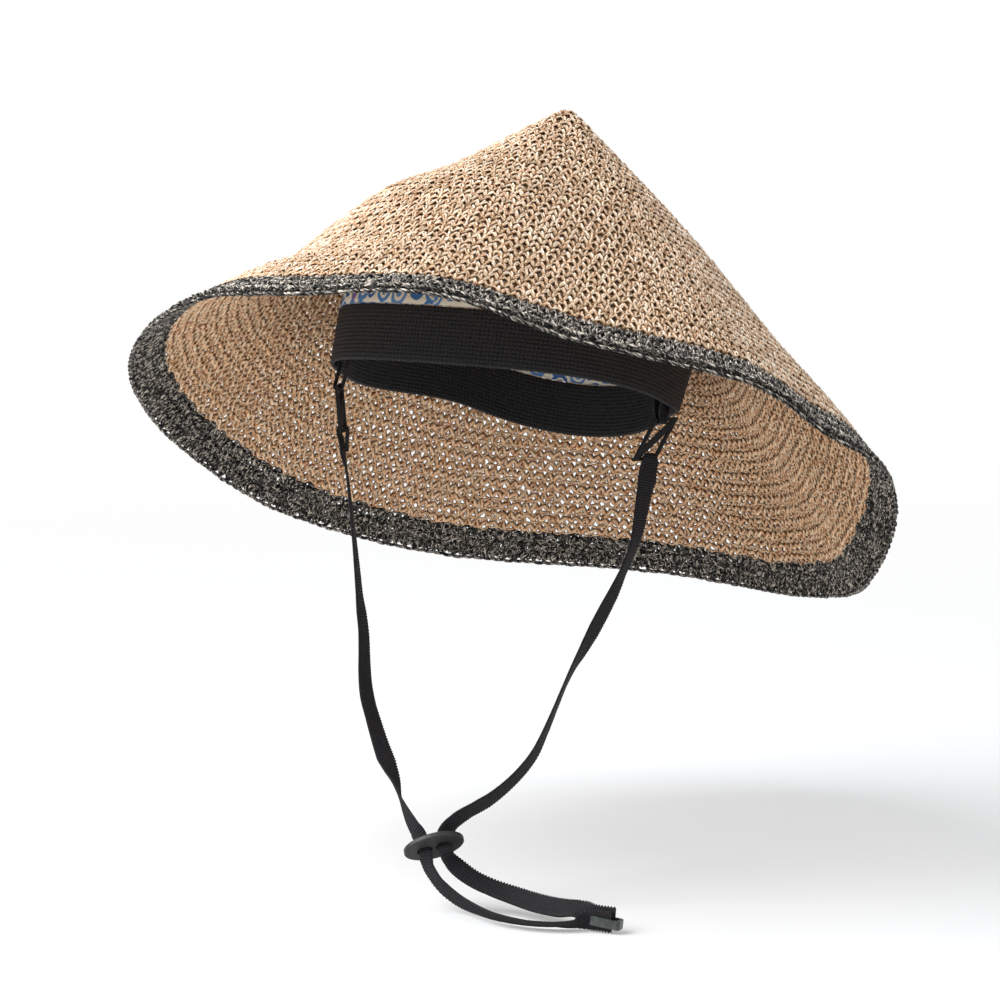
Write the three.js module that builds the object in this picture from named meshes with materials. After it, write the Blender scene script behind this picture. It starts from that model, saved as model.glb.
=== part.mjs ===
// A conical hat knitted of paper straw, with a dark border, a ribbed headband hung on a fabric
// lining, two strap hooks in cloth tabs and a flat elastic chin strap with a stopper and an end clip.
// Millimetres, +Z up. The wearer faces -Y and the wearer's left is +X.
// The origin is the head seat: the middle of the headband ring.
import * as THREE from 'three';
import { mergeVertices } from 'three/addons/utils/BufferGeometryUtils.js';

// Clearance between pieces that touch, and the same measured along the cone's slope
const GAP = 0.3;
const SLOPE_GAP = 0.42;

// The knitted cone: a generator runs from the tip at every heading. Heading 0 is the front, 90 the
// wearer's left. Slope is the generator's angle below the horizontal of the hat, slant its length.
const TIP = new THREE.Vector3(3, 59.5, 114.2);
const LEAN_BACK = 25;
const TIP_ROUNDING = 3;
const MEAN_SLOPE = 44;
const GENERATORS = [
  { heading: 0, slope: 41.7, slant: 237.5 },
  { heading: 30, slope: 44.1, slant: 236 },
  { heading: 60, slope: 44.4, slant: 236 },
  { heading: 90, slope: 44.9, slant: 240 },
  { heading: 120, slope: 48.2, slant: 247 },
  { heading: 150, slope: 42.8, slant: 251.5 },
  { heading: 180, slope: 37.7, slant: 248.5 },
  { heading: 210, slope: 42.9, slant: 240 },
  { heading: 240, slope: 46.6, slant: 231.5 },
  { heading: 270, slope: 46.2, slant: 229 },
  { heading: 300, slope: 43.8, slant: 231.5 },
  { heading: 330, slope: 42.0, slant: 236 },
];

// Soft swells (+) and dents (-) of the cone, in mm, at a distance along the generator
const SWELLS = [
  { heading: 324, along: 112, rise: 4.2, widthDeg: 26, length: 26 },
  { heading: 324, along: 168, rise: -3.6, widthDeg: 30, length: 20 },
  { heading: 78, along: 100, rise: 2.6, widthDeg: 55, length: 60 },
  { heading: 78, along: 205, rise: 1.8, widthDeg: 40, length: 32 },
  { heading: 15, along: 130, rise: 1.4, widthDeg: 20, length: 45 },
  { heading: 150, along: 130, rise: -2.0, widthDeg: 28, length: 40 },
  { heading: 205, along: 120, rise: 1.8, widthDeg: 26, length: 45 },
  { heading: 262, along: 140, rise: -1.6, widthDeg: 24, length: 35 },
];

// Waves of the free rim, in mm towards the tip
const RIM_WAVES = [
  { heading: 352, lift: -1.6, widthDeg: 9 },
  { heading: 11, lift: 2.0, widthDeg: 9 },
  { heading: 31, lift: -1.2, widthDeg: 10 },
  { heading: 57, lift: 1.4, widthDeg: 9 },
  { heading: 70, lift: -2.8, widthDeg: 9 },
  { heading: 200, lift: 1.2, widthDeg: 14 },
  { heading: 245, lift: -1.2, widthDeg: 12 },
  { heading: 334, lift: 1.6, widthDeg: 8 },
];

// Knit walls, the dark border and the chained edge
const KNIT_WALL = 2.2;
const BORDER_WIDTH = 19;
const EDGE_RADIUS = 1.8;
const HEADING_STEPS = 72;
const CROWN_ROWS = [0, 0.02, 0.05, 0.1, 0.18, 0.27, 0.36, 0.45, 0.54, 0.63, 0.72, 0.81, 0.9, 1];

// Headband ring: an oval 148 x 190 mm outside, tipped back, a little higher over the ears and at the
// back of the head. Behind the ears its lower edge is drawn in, by a share of the height.
const BAND = {
  halfWidth: 74, halfLength: 95, height: 24, wall: 2, leanBack: 18, leanSide: 2, earRise: 4.5,
  backRise: 12, drawnIn: 0.2, drawnAt: 128, drawnSpread: 28,
};

// Lining: a fabric wall from the headband up to the cone, short of it by the headroom
const LINING = { wall: 1.2, inwardLean: 0.12, bulge: 1.5, headroom: 0.7 };

// Strap hooks: a flat Z-shaped link with a bar at each end. The barrel of each bar is given by its
// middle, along is the bar's direction and shift how far off its middle the cloth and tape run.
const HOOK = { width: 10.8, thickness: 1.4, bar: 1.4, arm: 1.3, diagonal: 2.4 };
const FITTINGS = [
  {
    side: 'left', heading: 93, tabTop: [66.4, 3.2, -2.4],
    topBar: [68.7, 4.0, -15.8], bottomBar: [61.4, -1.9, -32.4], along: [0.7, 0.714, 0],
    shift: 1.9,
  },
  {
    side: 'right', heading: -66, tabTop: [-62.4, -35.8, 8.6],
    topBar: [-64.3, -38.4, -2.4], bottomBar: [-62.6, -38.6, -21.5], along: [-0.2, 0.98, 0],
    shift: 0.8,
  },
];

// Tabs: folded cloth loops that hold the hooks' top bars
const TAB = { topWidth: 10, barWidth: 4, cloth: 0.7, inner: 1.35 };

// Chin strap: flat elastic tape, narrowed where it folds over a hook and where it is threaded
const TAPE = { width: 8.6, thickness: 1.2, foldWidth: 4, threadedWidth: 5, threadedThickness: 2.2 };
const TAPE_STEPS = 84;
const FOLD_LEG = 9;
const TABLE_LEVEL = -213;

// Horizontal sight line of the front three-quarter side, which turns of the tape are measured from
const SIGHT = new THREE.Vector3(-0.375, 0.927, 0);

// Routes of the tape's middle line: x, y, z and turn. A turn of 0 lays the tape square to the sight
// line and 90 edge-on to it.
const LEFT_UPPER = [
  [62.2, -4.1, -46.0, 39], [61.3, -5.5, -54.0, 45],
  [60.2, -6.8, -62.8, 53], [58.6, -10.2, -71.5, 64], [56.7, -14.8, -79.2, 66],
  [54.7, -19.7, -86.8, 55], [52.6, -27.9, -95.2, 48], [50.8, -34.5, -102.0, 48],
  [48.8, -41.0, -108.9, 58], [47.0, -46.8, -114.9, 71], [44.3, -51.4, -123.3, 78],
  [41.2, -54.3, -132.7, 76], [37.2, -57.2, -143.9, 70], [33.8, -59.3, -151.9, 62],
  [30.6, -62.6, -157.4, 57], [26.0, -67.6, -163.4, 53], [20.6, -75.9, -169.0, 46],
  [16.0, -84.6, -172.2, 46], [10.8, -91.8, -176.4, 36],
];
const LEFT_TAIL = [
  [11.4, -97.6, -190.8, 44], [15.6, -96.0, -195.2, 42], [21.2, -94.8, -199.0, 46],
  [28.2, -93.6, -202.0, 48], [37.8, -94.2, -204.3, 43], [50.9, -98.5, -205.9, 40],
  [63.0, -103.2, -206.3, 34], [71.5, -106.2, -206.3, 18], [78.0, -107.5, -206.4, 2],
  [88.0, -107.6, -207.0, 0],
];
const RIGHT_UPPER = [
  [-61.4, -37.8, -38.0, 92], [-59.9, -36.8, -54.0, 88],
  [-58.5, -36.4, -68.0, 84], [-57.2, -36.4, -81.0, 79], [-56.0, -36.8, -92.0, 75],
  [-54.4, -38.2, -99.6, 66], [-52.5, -40.2, -107.9, 63], [-50.0, -45.2, -117.0, 60],
  [-46.8, -51.7, -125.8, 56], [-42.6, -58.3, -134.0, 52], [-38.2, -62.8, -141.1, 52],
  [-33.6, -67.3, -148.3, 48], [-27.8, -73.2, -155.8, 41], [-23.0, -77.9, -161.1, 62],
  [-18.4, -83.6, -165.6, 88], [-13.8, -89.4, -170.1, 104], [-9.0, -94.2, -174.6, 122],
  [-4.2, -97.4, -179.2, 134],
];
const RIGHT_TAIL = [
  [3.6, -102.6, -192.6, 130], [6.4, -101.0, -198.6, 116], [10.0, -99.9, -202.9, 104],
  [15.8, -101.0, -206.2, 84], [25.5, -105.6, -208.4, 58], [39.8, -113.2, -209.6, 54],
  [54.0, -115.8, -210.2, 60], [64.5, -114.2, -209.4, 44], [72.0, -110.8, -208.7, 20],
  [78.0, -109.4, -208.2, 2], [87.0, -109.4, -208.4, 0],
];

// Stopper: an oval disc with two slots side by side, across the two strands
const STOPPER = {
  centre: new THREE.Vector3(5.3, -99.8, -185.2), length: 25.4, width: 15.4, thickness: 2.6,
  bevel: 0.5, slotSpacing: 8, slotLength: 6.2, slotWidth: 3.8,
};
const STOPPER_ALONG = new THREE.Vector3(0.9, 0.364, 0.243).normalize();
const STOPPER_FACING = new THREE.Vector3(0.451, -0.596, -0.664).normalize();

// End clip: a small clamp of two plates joined at one end, with both tape ends between them
const CLIP = {
  centre: new THREE.Vector3(84.6, -108.4, -208.7), length: 12.4, height: 3.8, thickness: 6,
  slotWidth: 3.8, bridge: 1.4,
};
const CLIP_ALONG = new THREE.Vector3(0.983, 0, -0.13).normalize();

const radians = THREE.MathUtils.degToRad;
const degrees = THREE.MathUtils.radToDeg;

// Smallest signed difference between two headings, in degrees
function headingOffset(a, b) {
  return ((a - b + 540) % 360) - 180;
}

// A column of the generator table at any heading, by a closed Catmull-Rom curve through its rows
function generatorValue(column, heading) {
  const count = GENERATORS.length;
  const position = (((heading % 360) + 360) % 360) / (360 / count);
  const row = Math.floor(position);
  const t = position - row;
  const at = (k) => GENERATORS[(row + k + count) % count][column];
  const [a, b, c, d] = [at(-1), at(0), at(1), at(2)];
  return b + 0.5 * t * (c - a + t * (2 * a - 5 * b + 4 * c - d + t * (3 * (b - c) + d - a)));
}

// Bell curve that is 1 in the middle
function bell(offset, spread) {
  return Math.exp(-((offset / spread) ** 2));
}

// Height of swells, dents and rim waves at a place on the cone
function relief(heading, along, slant) {
  let height = 0;
  for (const { heading: h, along: a, rise, widthDeg, length } of SWELLS) {
    height += rise * bell(headingOffset(heading, h), widthDeg) * bell(along - a, length);
  }
  for (const { heading: h, lift, widthDeg } of RIM_WAVES) {
    height += lift * bell(headingOffset(heading, h), widthDeg) * (along / slant) ** 4;
  }
  return height * Math.min(1, along / 30);
}

// Cone point in the hat's own upright frame, tip at zero, depth measured square into the wall
function conePoint(heading, along, depth) {
  const slope = radians(generatorValue('slope', heading));
  const slant = generatorValue('slant', heading);
  const radius = along * Math.cos(slope);
  const drop = Math.hypot(along * Math.sin(slope), TIP_ROUNDING) - TIP_ROUNDING;
  const height = (relief(heading, along, slant) - depth) / Math.cos(radians(MEAN_SLOPE)) - drop;
  const angle = radians(heading);
  return new THREE.Vector3(radius * Math.sin(angle), -radius * Math.cos(angle), height);
}

// Upright hat frame to the worn position, and back
function wear(point) {
  return point.applyAxisAngle(new THREE.Vector3(1, 0, 0), -radians(LEAN_BACK)).add(TIP);
}
function unwear(point) {
  return point.clone().sub(TIP).applyAxisAngle(new THREE.Vector3(1, 0, 0), radians(LEAN_BACK));
}

// Room between a point and the cone's inner face, measured square to the wall
function roomUnderCone(point) {
  const inHat = unwear(point);
  const heading = degrees(Math.atan2(inHat.x, -inHat.y));
  const slope = radians(generatorValue('slope', heading));
  const along = Math.hypot(inHat.x, inHat.y) / Math.cos(slope);
  return (conePoint(heading, along, KNIT_WALL).z - inHat.z) * Math.cos(slope);
}

// Headband point: inset from the outer face, height above the ring's middle
function bandPoint(heading, inset, height) {
  const angle = radians(heading);
  const fromFront = Math.abs(headingOffset(heading, 0));
  const drawn = BAND.drawnIn * bell(fromFront - BAND.drawnAt, BAND.drawnSpread);
  const reach = inset + drawn * (BAND.height / 2 - height);
  const rise = BAND.backRise * THREE.MathUtils.smoothstep(fromFront, 85, 140);
  const point = new THREE.Vector3(
    (BAND.halfWidth - reach) * Math.sin(angle),
    -(BAND.halfLength - reach) * Math.cos(angle),
    height - BAND.earRise * Math.cos(2 * angle) + rise,
  );
  point.applyAxisAngle(new THREE.Vector3(0, 1, 0), radians(BAND.leanSide));
  return point.applyAxisAngle(new THREE.Vector3(1, 0, 0), -radians(BAND.leanBack));
}

// Lining point: share 0 at the headband's top, 1 just under the cone
function liningPoint(heading, inset, share) {
  const foot = bandPoint(heading, inset, BAND.height / 2 + GAP);
  const up = bandPoint(heading, inset, BAND.height).sub(bandPoint(heading, inset, 0)).normalize();
  const middle = bandPoint(heading, inset, 0);
  const inward = middle.clone().setZ(0).normalize().negate();
  const direction = up.addScaledVector(inward, LINING.inwardLean).normalize();
  let low = 0;
  let high = 100;
  for (let i = 0; i < 40; i++) {
    const reach = (low + high) / 2;
    const room = roomUnderCone(foot.clone().addScaledVector(direction, reach));
    if (room > LINING.headroom) {
      low = reach;
    } else {
      high = reach;
    }
  }
  const bulge = LINING.bulge * Math.sin(Math.PI * share);
  return foot.addScaledVector(direction, low * share).addScaledVector(inward, bulge);
}

// Index, drop collapsed triangles and turn the faces outwards
function closeSurface(source) {
  source.deleteAttribute('normal');
  source.deleteAttribute('uv');
  const geometry = mergeVertices(source, 1e-4);
  const position = geometry.attributes.position;
  const faces = [];
  const [a, b, c] = [new THREE.Vector3(), new THREE.Vector3(), new THREE.Vector3()];
  let volume = 0;
  for (let i = 0; i < geometry.index.count; i += 3) {
    const face = [0, 1, 2].map((k) => geometry.index.getX(i + k));
    if (new Set(face).size === 3) {
      faces.push(face);
      a.fromBufferAttribute(position, face[0]);
      b.fromBufferAttribute(position, face[1]);
      c.fromBufferAttribute(position, face[2]);
      volume += a.dot(b.cross(c));
    }
  }
  geometry.setIndex(faces.flatMap(([i, j, k]) => (volume > 0 ? [i, j, k] : [i, k, j])));
  geometry.computeVertexNormals();
  return geometry;
}

// A closed profile turned once round, each of its points then placed by heading
function turned(profile, place) {
  const outline = profile.map(([a, b]) => new THREE.Vector2(a, b));
  const geometry = new THREE.LatheGeometry(outline, HEADING_STEPS);
  const position = geometry.attributes.position;
  for (let i = 0; i < position.count; i++) {
    const step = Math.floor(i / outline.length) % HEADING_STEPS;
    const { x, y } = outline[i % outline.length];
    const point = place(step * (360 / HEADING_STEPS), x, y);
    position.setXYZ(i, point.x, point.y, point.z);
  }
  return closeSurface(geometry);
}

// Skin over a row of equal loops: capped at both ends, or joined end to end
function loft(sections, joined) {
  const sides = sections[0].length;
  const positions = sections.flat().flatMap((point) => [point.x, point.y, point.z]);
  const index = [];
  const rows = joined ? sections.length : sections.length - 1;
  for (let i = 0; i < rows; i++) {
    const next = (i + 1) % sections.length;
    for (let j = 0; j < sides; j++) {
      const side = (j + 1) % sides;
      const [a, b] = [i * sides + j, i * sides + side];
      const [c, d] = [next * sides + j, next * sides + side];
      index.push(a, b, d, a, d, c);
    }
  }
  if (!joined) {
    const last = (sections.length - 1) * sides;
    for (let j = 1; j < sides - 1; j++) {
      index.push(0, j + 1, j, last, last + j, last + j + 1);
    }
  }
  const geometry = new THREE.BufferGeometry();
  geometry.setAttribute('position', new THREE.Float32BufferAttribute(positions, 3));
  geometry.setIndex(index);
  return closeSurface(geometry);
}

// Frame of three square directions from a first direction and a hint for the second
function frameFrom(first, hint) {
  const x = first.clone().normalize();
  const z = x.clone().cross(hint).normalize();
  return { x, y: z.clone().cross(x), z };
}

// Named mesh in its material
function piece(name, geometry, color, roughness) {
  const material = new THREE.MeshStandardMaterial({ color, roughness, metalness: 0 });
  const mesh = new THREE.Mesh(geometry, material);
  mesh.name = name;
  return mesh;
}

// Straw cone down to the border
function makeCrown() {
  const outer = CROWN_ROWS.map((share) => [share, 0]);
  const inner = [...CROWN_ROWS].reverse().map((share) => [share, KNIT_WALL]);
  const geometry = turned([...outer, ...inner], (heading, share, depth) => {
    const reach = generatorValue('slant', heading) - BORDER_WIDTH;
    return wear(conePoint(heading, share * reach, depth));
  });
  return piece('crown_knit', geometry, 0xd9b58c, 0.75);
}

// Dark knitted border between the cone and the edge chain
function makeBorder() {
  const top = BORDER_WIDTH - SLOPE_GAP;
  const bottom = 2 * EDGE_RADIUS + SLOPE_GAP;
  const middle = (top + bottom) / 2;
  const outer = [top, middle, bottom].map((fromRim) => [fromRim, 0]);
  const inner = [bottom, middle, top].map((fromRim) => [fromRim, KNIT_WALL]);
  const geometry = turned([...outer, ...inner, outer[0]], (heading, fromRim, depth) => {
    const along = generatorValue('slant', heading) - fromRim;
    return wear(conePoint(heading, along, depth));
  });
  return piece('brim_border', geometry, 0x3c3b3a, 0.85);
}

// Chained edge: a bead round the free rim
function makeRimEdge() {
  const sides = 6;
  const profile = Array.from({ length: sides + 1 }, (_, i) => {
    const angle = ((i % sides) / sides) * 2 * Math.PI;
    return [EDGE_RADIUS * (1 + Math.cos(angle)), KNIT_WALL / 2 + EDGE_RADIUS * Math.sin(angle)];
  });
  const geometry = turned(profile, (heading, fromRim, depth) => {
    const along = generatorValue('slant', heading) - fromRim;
    return wear(conePoint(heading, along, depth));
  });
  return piece('rim_edge', geometry, 0x6b655c, 0.85);
}

// Ribbed headband ring
function makeHeadband() {
  const half = BAND.height / 2;
  const { wall } = BAND;
  const profile = [[0, -half], [0, half], [wall, half], [wall, -half], [0, -half]];
  return piece('headband', turned(profile, bandPoint), 0x1d1d1f, 0.8);
}

// Printed fabric wall between the headband and the cone
function makeLining() {
  const { wall } = LINING;
  const rows = [0, 0.35, 0.7, 1];
  const outer = rows.map((share) => [0, share]);
  const inner = [...rows].reverse().map((share) => [wall, share]);
  const geometry = turned([...outer, ...inner, outer[0]], liningPoint);
  return piece('lining', geometry, 0xded8c8, 0.9);
}

// Folded cloth loop from inside the headband down round a hook's top bar
function makeTab({ side, heading, tabTop, topBar, along, shift }) {
  const { topWidth, barWidth, cloth, inner } = TAB;
  const bar = new THREE.Vector3(...along).normalize();
  const top = new THREE.Vector3(...tabTop);
  const bottom = new THREE.Vector3(...topBar).addScaledVector(bar, -shift);
  const ahead = bandPoint(heading + 4, BAND.wall, 0);
  const seam = ahead.sub(bandPoint(heading - 4, BAND.wall, 0)).normalize();
  if (seam.dot(bar) < 0) {
    seam.negate();
  }
  const down = bottom.clone().sub(top).normalize();
  const outline = [];
  for (const turn of [-90, -54, -18, 18, 54, 90]) {
    outline.push({ share: 1, turn });
  }
  for (const share of [0.92, 0.84, 0.76, 0.68, 0.6, 0.52, 0.44, 0.2]) {
    outline.push({ share, turn: 90 });
  }
  for (const turn of [90, 135, 180, 225, 270]) {
    outline.push({ share: 0, turn });
  }
  for (const share of [0.2, 0.44, 0.52, 0.6, 0.68, 0.76, 0.84, 0.92]) {
    outline.push({ share, turn: 270 });
  }
  const sections = outline.map(({ share, turn }) => {
    const twist = THREE.MathUtils.smoothstep(share, 0.3, 1);
    const across = seam.clone().lerp(bar, twist).normalize();
    const away = across.clone().cross(down).normalize();
    const middle = top.clone().lerp(bottom, share);
    const half = THREE.MathUtils.lerp(topWidth, barWidth, THREE.MathUtils.smoothstep(share, 0.2, 1)) / 2;
    const angle = radians(turn);
    return [[inner, -half], [inner, half], [inner + cloth, half], [inner + cloth, -half]].map(
      ([radius, offset]) => middle.clone()
        .addScaledVector(away, radius * Math.sin(angle))
        .addScaledVector(down, radius * Math.cos(angle))
        .addScaledVector(across, offset),
    );
  });
  return piece(`tab_${side}`, loft(sections, true), 0x18181a, 0.45);
}

// Triangle moved inwards, each side by its own distance
function insetTriangle(corners, insets) {
  const lines = corners.map((corner, i) => {
    const next = corners[(i + 1) % 3];
    const direction = next.clone().sub(corner).normalize();
    const inward = new THREE.Vector2(-direction.y, direction.x);
    return { origin: corner.clone().addScaledVector(inward, insets[i]), direction };
  });
  return lines.map((line, i) => {
    const before = lines[(i + 2) % 3];
    const between = line.origin.clone().sub(before.origin);
    const reach = between.cross(line.direction) / before.direction.cross(line.direction);
    return before.origin.clone().addScaledVector(before.direction, reach);
  });
}

// Flat Z-shaped link: two end bars, two thin arms and a thick diagonal
function makeHook({ side, topBar, bottomBar, along }) {
  const { width, thickness, bar, arm, diagonal } = HOOK;
  const low = new THREE.Vector3(...bottomBar);
  const rise = new THREE.Vector3(...topBar).sub(low);
  const { x, y, z } = frameFrom(new THREE.Vector3(...along), rise);
  const skew = rise.dot(x);
  const height = rise.dot(y);
  const half = width / 2;
  const corner = (u, v) => new THREE.Vector2(u + (skew * v) / height, v);
  const bottomLeft = corner(-half, -bar / 2);
  const bottomRight = corner(half, -bar / 2);
  const topLeft = corner(-half, height + bar / 2);
  const topRight = corner(half, height + bar / 2);
  const shape = new THREE.Shape([bottomLeft, bottomRight, topRight, topLeft]);
  const lower = insetTriangle([bottomLeft, bottomRight, topRight], [bar, arm, diagonal / 2]);
  const upper = insetTriangle([bottomLeft, topRight, topLeft], [diagonal / 2, bar, arm]);
  shape.holes.push(new THREE.Path(lower), new THREE.Path(upper));
  const geometry = new THREE.ExtrudeGeometry(shape, { depth: thickness, bevelEnabled: false });
  geometry.translate(0, 0, -thickness / 2);
  geometry.applyMatrix4(new THREE.Matrix4().makeBasis(x, y, z).setPosition(low));
  return piece(`hook_${side}`, closeSurface(geometry), 0x161618, 0.4);
}

// Tape end folded over a hook's bottom bar: the short leg lies on the head's side
function foldOverBar({ bottomBar, along, shift }, first) {
  const bar = new THREE.Vector3(...along).normalize();
  const centre = new THREE.Vector3(...bottomBar).addScaledVector(bar, shift);
  const down = first.clone().sub(centre).normalize();
  const outward = bar.clone().cross(down).normalize();
  if (outward.dot(new THREE.Vector3(centre.x, 0, 0)) < 0) {
    outward.negate();
  }
  const radius = HOOK.thickness / 2 + 2 * GAP + TAPE.thickness / 2;
  const leg = TAPE.thickness / 2 + GAP;
  const at = (out, under) => ({
    point: centre.clone().addScaledVector(outward, out).addScaledVector(down, under), across: bar,
  });
  const diagonal = radius * Math.SQRT1_2;
  return [
    at(-leg, FOLD_LEG), at(-leg - 0.4, FOLD_LEG / 2), at(-radius, 1.2), at(-radius, 0),
    at(-diagonal, -diagonal), at(0, -radius), at(diagonal, -diagonal), at(radius, 0),
    at(radius - 0.2, 1.5), at(leg + 0.1, FOLD_LEG - 3), at(leg, FOLD_LEG + 1),
  ];
}

// Route row as a point with the direction across the tape
function routePoint([x, y, z, turn], ahead) {
  const point = new THREE.Vector3(x, y, z);
  const tangent = ahead.clone().normalize();
  const level = tangent.clone().cross(SIGHT).normalize();
  const back = SIGHT.clone().addScaledVector(tangent, -SIGHT.dot(tangent)).normalize();
  const across = level.multiplyScalar(Math.cos(radians(turn)));
  return { point, across: across.addScaledVector(back, Math.sin(radians(turn))) };
}

// Directions from row to row of a route
function routePoints(rows) {
  const vectors = rows.map(([x, y, z]) => new THREE.Vector3(x, y, z));
  return rows.map((row, i) => {
    const before = vectors[Math.max(0, i - 1)];
    const after = vectors[Math.min(rows.length - 1, i + 1)];
    return routePoint(row, after.clone().sub(before));
  });
}

// Tape from its fold on a hook, through a slot of the stopper, to its end in the clip
function makeStrap(fitting, upper, tail, slotSide) {
  const slot = STOPPER.centre.clone()
    .addScaledVector(STOPPER_ALONG, (slotSide * STOPPER.slotSpacing) / 2);
  const threaded = [-3.2, 0, 3.2].map((reach) => ({
    point: slot.clone().addScaledVector(STOPPER_FACING, reach),
    across: STOPPER_ALONG.clone().multiplyScalar(slotSide),
  }));
  const main = [...routePoints(upper), ...threaded, ...routePoints(tail)];
  const fold = foldOverBar(fitting, main[0].point);
  const route = [...fold, ...main];
  const middle = new THREE.CatmullRomCurve3(route.map(({ point }) => point), false, 'centripetal');
  const turns = route.map(({ across }) => across);
  const foldShare = (fold.length - 1) / (route.length - 1);
  const foldLow = 5;
  const shares = [];
  const foldSteps = 22;
  for (let i = 0; i < foldSteps; i++) {
    shares.push((i / foldSteps) * foldShare);
  }
  for (let i = 0; i <= TAPE_STEPS; i++) {
    shares.push(foldShare + (i / TAPE_STEPS) * (1 - foldShare));
  }
  const sections = shares.map((share) => {
    const point = middle.getPoint(share);
    const tangent = middle.getTangent(share);
    const place = share * (route.length - 1);
    const row = Math.min(route.length - 2, Math.floor(place));
    const across = turns[row].clone().lerp(turns[row + 1], place - row);
    across.addScaledVector(tangent, -across.dot(tangent)).normalize();
    const normal = tangent.clone().cross(across);
    const squeeze = bell(Math.max(0, point.distanceTo(slot) - 2.5), 5);
    const pinch = bell(Math.max(0, place - foldLow), 2.2);
    const open = THREE.MathUtils.lerp(TAPE.width, TAPE.threadedWidth, squeeze);
    const half = THREE.MathUtils.lerp(open, TAPE.foldWidth, pinch) / 2;
    const thick = THREE.MathUtils.lerp(TAPE.thickness, TAPE.threadedThickness, squeeze) / 2;
    const chamfer = thick * 0.9;
    const corners = [
      [half, -thick * 0.4], [half, thick * 0.4], [half - chamfer, thick], [chamfer - half, thick],
      [-half, thick * 0.4], [-half, -thick * 0.4], [chamfer - half, -thick], [half - chamfer, -thick],
    ];
    return corners.map(([u, v]) => {
      const corner = point.clone().addScaledVector(across, u).addScaledVector(normal, v);
      corner.z = Math.max(corner.z, TABLE_LEVEL);
      return corner;
    });
  });
  return piece(`chin_strap_${fitting.side}`, loft(sections, false), 0x242226, 0.85);
}

// Ellipse outline for a shape or a hole
function ellipse(kind, x, length, width, points) {
  const path = new kind();
  path.setFromPoints(Array.from({ length: points }, (_, i) => {
    const angle = (i / points) * 2 * Math.PI;
    return new THREE.Vector2(x + (length / 2) * Math.cos(angle), (width / 2) * Math.sin(angle));
  }));
  return path;
}

// Oval disc with two slots
function makeStopper() {
  const { centre, length, width, thickness, bevel, slotSpacing, slotLength, slotWidth } = STOPPER;
  const shape = ellipse(THREE.Shape, 0, length - 2 * bevel, width - 2 * bevel, 36);
  for (const side of [-1, 1]) {
    const grow = 2 * bevel;
    const hole = [(side * slotSpacing) / 2, slotLength + grow, slotWidth + grow, 16];
    shape.holes.push(ellipse(THREE.Path, ...hole));
  }
  const geometry = new THREE.ExtrudeGeometry(shape, {
    depth: thickness - 2 * bevel, bevelThickness: bevel, bevelSize: bevel, bevelSegments: 1,
  });
  geometry.translate(0, 0, bevel - thickness / 2);
  const z = STOPPER_FACING;
  const x = STOPPER_ALONG.clone().addScaledVector(z, -STOPPER_ALONG.dot(z)).normalize();
  const y = z.clone().cross(x);
  geometry.applyMatrix4(new THREE.Matrix4().makeBasis(x, y, z).setPosition(centre));
  return piece('stopper', closeSurface(geometry), 0x303231, 0.5);
}

// Clamp of two plates and a bridge, as a U in plan
function makeClip() {
  const { centre, length, height, thickness, slotWidth, bridge } = CLIP;
  const [halfLength, halfThick, halfSlot] = [length / 2, thickness / 2, slotWidth / 2];
  const inside = halfLength - bridge;
  const shape = new THREE.Shape([
    [-halfLength, -halfThick], [halfLength - 1, -halfThick], [halfLength, 1 - halfThick],
    [halfLength, halfThick - 1], [halfLength - 1, halfThick], [-halfLength, halfThick],
    [-halfLength, halfSlot], [inside, halfSlot], [inside, -halfSlot], [-halfLength, -halfSlot],
  ].map(([u, v]) => new THREE.Vector2(u, v)));
  const geometry = new THREE.ExtrudeGeometry(shape, { depth: height, bevelEnabled: false });
  geometry.translate(0, 0, -height / 2);
  const { x, y, z } = frameFrom(CLIP_ALONG, new THREE.Vector3(0, 1, 0));
  geometry.applyMatrix4(new THREE.Matrix4().makeBasis(x, y, z).setPosition(centre));
  return piece('end_clip', closeSurface(geometry), 0x46504d, 0.4);
}

const hat = new THREE.Group();
hat.add(makeCrown(), makeBorder(), makeRimEdge(), makeHeadband(), makeLining());
for (const fitting of FITTINGS) {
  hat.add(makeTab(fitting), makeHook(fitting));
}
hat.add(makeStrap(FITTINGS[0], LEFT_UPPER, LEFT_TAIL, 1));
hat.add(makeStrap(FITTINGS[1], RIGHT_UPPER, RIGHT_TAIL, -1));
hat.add(makeStopper(), makeClip());

export default hat;
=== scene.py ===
"""A conical hat knitted of paper straw, with its headband, lining and chin strap.

Lengths are in millimetres until a mesh is made, then metres. +Z is up, the wearer faces -Y and the
wearer's left is +X. The origin is the middle of the headband.
"""

import logging
from dataclasses import dataclass
from enum import Enum

import bpy
import numpy as np
from mathutils import Matrix, Vector


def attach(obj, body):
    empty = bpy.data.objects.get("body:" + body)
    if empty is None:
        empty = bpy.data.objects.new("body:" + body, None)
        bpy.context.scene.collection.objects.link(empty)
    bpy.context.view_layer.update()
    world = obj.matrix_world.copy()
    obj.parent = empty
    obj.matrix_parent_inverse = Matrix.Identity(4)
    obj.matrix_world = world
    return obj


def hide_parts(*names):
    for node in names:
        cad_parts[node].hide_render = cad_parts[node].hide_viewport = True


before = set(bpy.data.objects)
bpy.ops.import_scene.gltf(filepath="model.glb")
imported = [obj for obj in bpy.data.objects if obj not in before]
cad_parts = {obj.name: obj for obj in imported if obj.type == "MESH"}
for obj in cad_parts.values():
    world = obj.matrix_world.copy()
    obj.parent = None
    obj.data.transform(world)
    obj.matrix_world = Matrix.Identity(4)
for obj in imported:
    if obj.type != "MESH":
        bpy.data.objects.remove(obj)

log = logging.getLogger("hat")
MM = 0.001

# One turn in radians, as the shaders take it
TURN = 6.2832

Colour = tuple[float, float, float]
Point = tuple[float, float, float]
Socket = bpy.types.NodeSocket

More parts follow.
